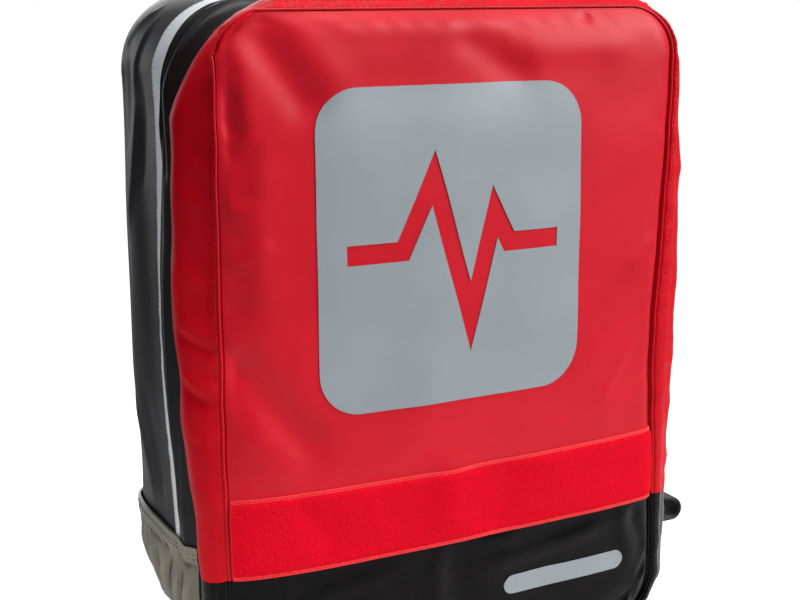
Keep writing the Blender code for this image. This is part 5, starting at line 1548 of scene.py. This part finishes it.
YOKE = {"half": 0.104, "z": 0.4125, "stand": 0.0014, "rise": 0.0062}


def make_yoke():
    """Band of webbing sewn across both straps' top ends: flat, with a soft rise over each strap."""
    x = np.linspace(-YOKE["half"], YOKE["half"], 90)
    over = soft_step(STRAP_WIDTH / 2 + 0.004 - np.abs(np.abs(x) - STRAP_TOP_X), 0.0, 0.010)
    ends = soft_step(YOKE["half"] - np.abs(x), 0.0, 0.003)
    y = MAIN_DEPTH + YOKE["stand"] + YOKE["rise"] * over * ends
    path = np.stack([x, y, np.full(len(x), YOKE["z"])], axis=1)
    planar_band("strap_yoke_band", path, UPWARD, WEBBING_WIDTH, WEBBING_WALL)
    normals = unit(np.cross(UPWARD, np.gradient(path, axis=0)))
    normals = np.where(normals[:, 1:2] > 0, normals, -normals)
    seams = [(path + normals * 0.0010 + UPWARD * s * WEBBING_SEAM, normals) for s in SIDES]
    ride(stitches("strap_yoke_stitches", seams, GREY_THREAD), "webbing_black")


make_main()
make_pocket_gusset()
make_front()
make_emblem()
make_boot()
make_pocket_flap()
make_webbing()
make_stitches()

make_back_panel()
make_strap(-1, "left")
make_strap(1, "right")
make_yoke()
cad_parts["divider_panel"].data.materials.clear()
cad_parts["divider_panel"].data.materials.append(BLACK_POLYESTER)


# Floor, light and camera

# Half the floor's side, the radii between which its tone and its glow change, and those where it fades
FLOOR_HALF, FLOOR_CHANGE, FLOOR_FADE = 2.4, (0.35, 0.8), (0.8, 2.2)
FLOOR_TONE, FLOOR_GLOW = (0.8, 0.22), (0.75, 0.98)
# Strength of the surroundings in front and behind, and the share of it that is left at the left
WORLD_FRONT, WORLD_REAR, WORLD_LEFT = 0.03, 0.45, 0.2
MIDDLE = (0.0, 0.0, 0.25)
SOFTBOXES = (
    # name, place, target, size, power, tint, spread in degrees, mirrored in the cloth
    ("top_softbox", (0.1, -0.35, 1.9), MIDDLE, (1.1, 0.8), 24.0, "#FFFFFF", 180.0, True),
    ("key_softbox", (1.95, -1.65, 1.5), MIDDLE, (1.3, 1.3), 77.0, "#FFFFFF", 180.0, True),
    ("fill_softbox", (-1.4, -1.7, 0.8), MIDDLE, (0.8, 1.2), 0.6, "#FFFFFF", 180.0, False),
    ("rear_softbox", (0.7, 2.4, 1.0), MIDDLE, (1.4, 1.0), 20.0, "#FFFFFF", 180.0, True),
    ("side_softbox", (-1.0, 1.9, 0.6), (-0.17, 0.0, 0.3), (0.4, 0.9), 4.5, "#F4F6FF", 180.0, True),
    ("low_reflector", (-0.70, -0.55, 0.07), (-0.17, -0.03, 0.02), (0.4, 0.12), 0.42, "#FFFFFF", 80.0,
     False),
)
# Camera at the photo's viewing angle, in the pack's own frame, and its lens in millimetres
CAMERA_PLACE = np.array([-0.423, -0.789, 0.4625])
CAMERA_AZIMUTH, CAMERA_PITCH = math.radians(-27.31), math.radians(13.27)
SENSOR_WIDTH, LENS = 36.0, 60.75


def make_stage():
    """White floor that fades into the white surroundings further out, by its radius."""
    made = bpy.data.materials.new("white_paper_floor")
    made.use_nodes = True
    tree = made.node_tree
    tree.nodes.clear()
    place = node(tree, "TexCoord").outputs["Object"]
    radius = node(tree, "VectorMath", {0: place}, operation="LENGTH").outputs["Value"]
    out = spread(tree, radius, *FLOOR_FADE, 0.0, 1.0)
    seen = node(tree, "LightPath").outputs["Is Camera Ray"]
    level = spread(tree, radius, *FLOOR_CHANGE, *FLOOR_GLOW)
    glow = node(tree, "Math", {0: seen, 1: level}, operation="MULTIPLY").outputs[0]
    tone = spread(tree, radius, *FLOOR_CHANGE, *FLOOR_TONE)
    grey = node(tree, "CombineColor", {0: tone, 1: tone, 2: tone}).outputs[0]
    paper = node(tree, "BsdfDiffuse", {"Color": grey}).outputs[0]
    light = node(tree, "Emission", {"Strength": glow}).outputs[0]
    lit = node(tree, "AddShader", {0: paper, 1: light}).outputs[0]
    clear = node(tree, "BsdfTransparent").outputs[0]
    both = node(tree, "MixShader", {0: out, 1: lit, 2: clear}).outputs[0]
    node(tree, "OutputMaterial", {"Surface": both})
    corners = [(-1, -1), (1, -1), (1, 1), (-1, 1)]
    mesh = bpy.data.meshes.new("floor")
    mesh.from_pydata([(x * FLOOR_HALF, y * FLOOR_HALF, 0) for x, y in corners], [], [(0, 1, 2, 3)])
    mesh.materials.append(made)
    floor = bpy.data.objects.new("floor", mesh)
    bpy.context.scene.collection.objects.link(floor)


def area_light(name, place, target, size, power, tint, beam, mirrored):
    """Softbox at a place that faces a target; unless mirrored it only lights the cloth."""
    lamp = bpy.data.lights.new(name, "AREA")
    lamp.shape = "RECTANGLE"
    lamp.size, lamp.size_y = size
    lamp.energy = power
    lamp.spread = math.radians(beam)
    lamp.color = colour(tint)[:3]
    made = bpy.data.objects.new(name, lamp)
    made.visible_glossy = mirrored
    bpy.context.scene.collection.objects.link(made)
    aim(made, np.array(place), np.array(target) - np.array(place))


def aim(thing, place, look):
    """Puts a light or camera at a place, looking along a direction, upright."""
    thing.location = place
    thing.rotation_euler = Vector(look).to_track_quat("-Z", "Y").to_euler()


def make_camera():
    """Camera at the photo's viewing angle, which looks back along its azimuth and pitch."""
    level = math.cos(CAMERA_PITCH)
    look = -np.array([math.sin(CAMERA_AZIMUTH) * level, -math.cos(CAMERA_AZIMUTH) * level,
                      math.sin(CAMERA_PITCH)])
    lens = bpy.data.cameras.new("camera")
    lens.sensor_fit = "HORIZONTAL"
    lens.sensor_width = SENSOR_WIDTH
    lens.lens = LENS
    lens.clip_start = 0.05
    lens.clip_end = 50.0
    made = bpy.data.objects.new("camera", lens)
    bpy.context.scene.collection.objects.link(made)
    aim(made, CAMERA_PLACE + SHIFT, look)
    bpy.context.scene.camera = made


def make_lights():
    """White surroundings, dimmer in front and at the left, and the softboxes."""
    world = bpy.data.worlds.new("studio")
    bpy.context.scene.world = world
    world.use_nodes = True
    tree = world.node_tree
    shade = tree.nodes["Background"]
    heading = node(tree, "SeparateXYZ", {"Vector": node(tree, "TexCoord").outputs["Generated"]})
    rear = spread(tree, heading.outputs["Y"], -0.3, 0.7, WORLD_FRONT, WORLD_REAR)
    leftward = spread(tree, heading.outputs["X"], -0.7, 0.1, WORLD_LEFT, 1.0)
    rear = node(tree, "Math", {0: rear, 1: leftward}, operation="MULTIPLY").outputs[0]
    seen = node(tree, "LightPath").outputs["Is Camera Ray"]
    strength = node(tree, "Mix", {0: seen, 2: rear, 3: 1.0}, data_type="FLOAT")
    tree.links.new(strength.outputs[0], shade.inputs["Strength"])
    shade.inputs["Color"].default_value = (1, 1, 1, 1)
    for softbox in SOFTBOXES:
        area_light(*softbox)
    bpy.context.scene.view_settings.view_transform = "Standard"


make_stage()
make_lights()
make_camera()
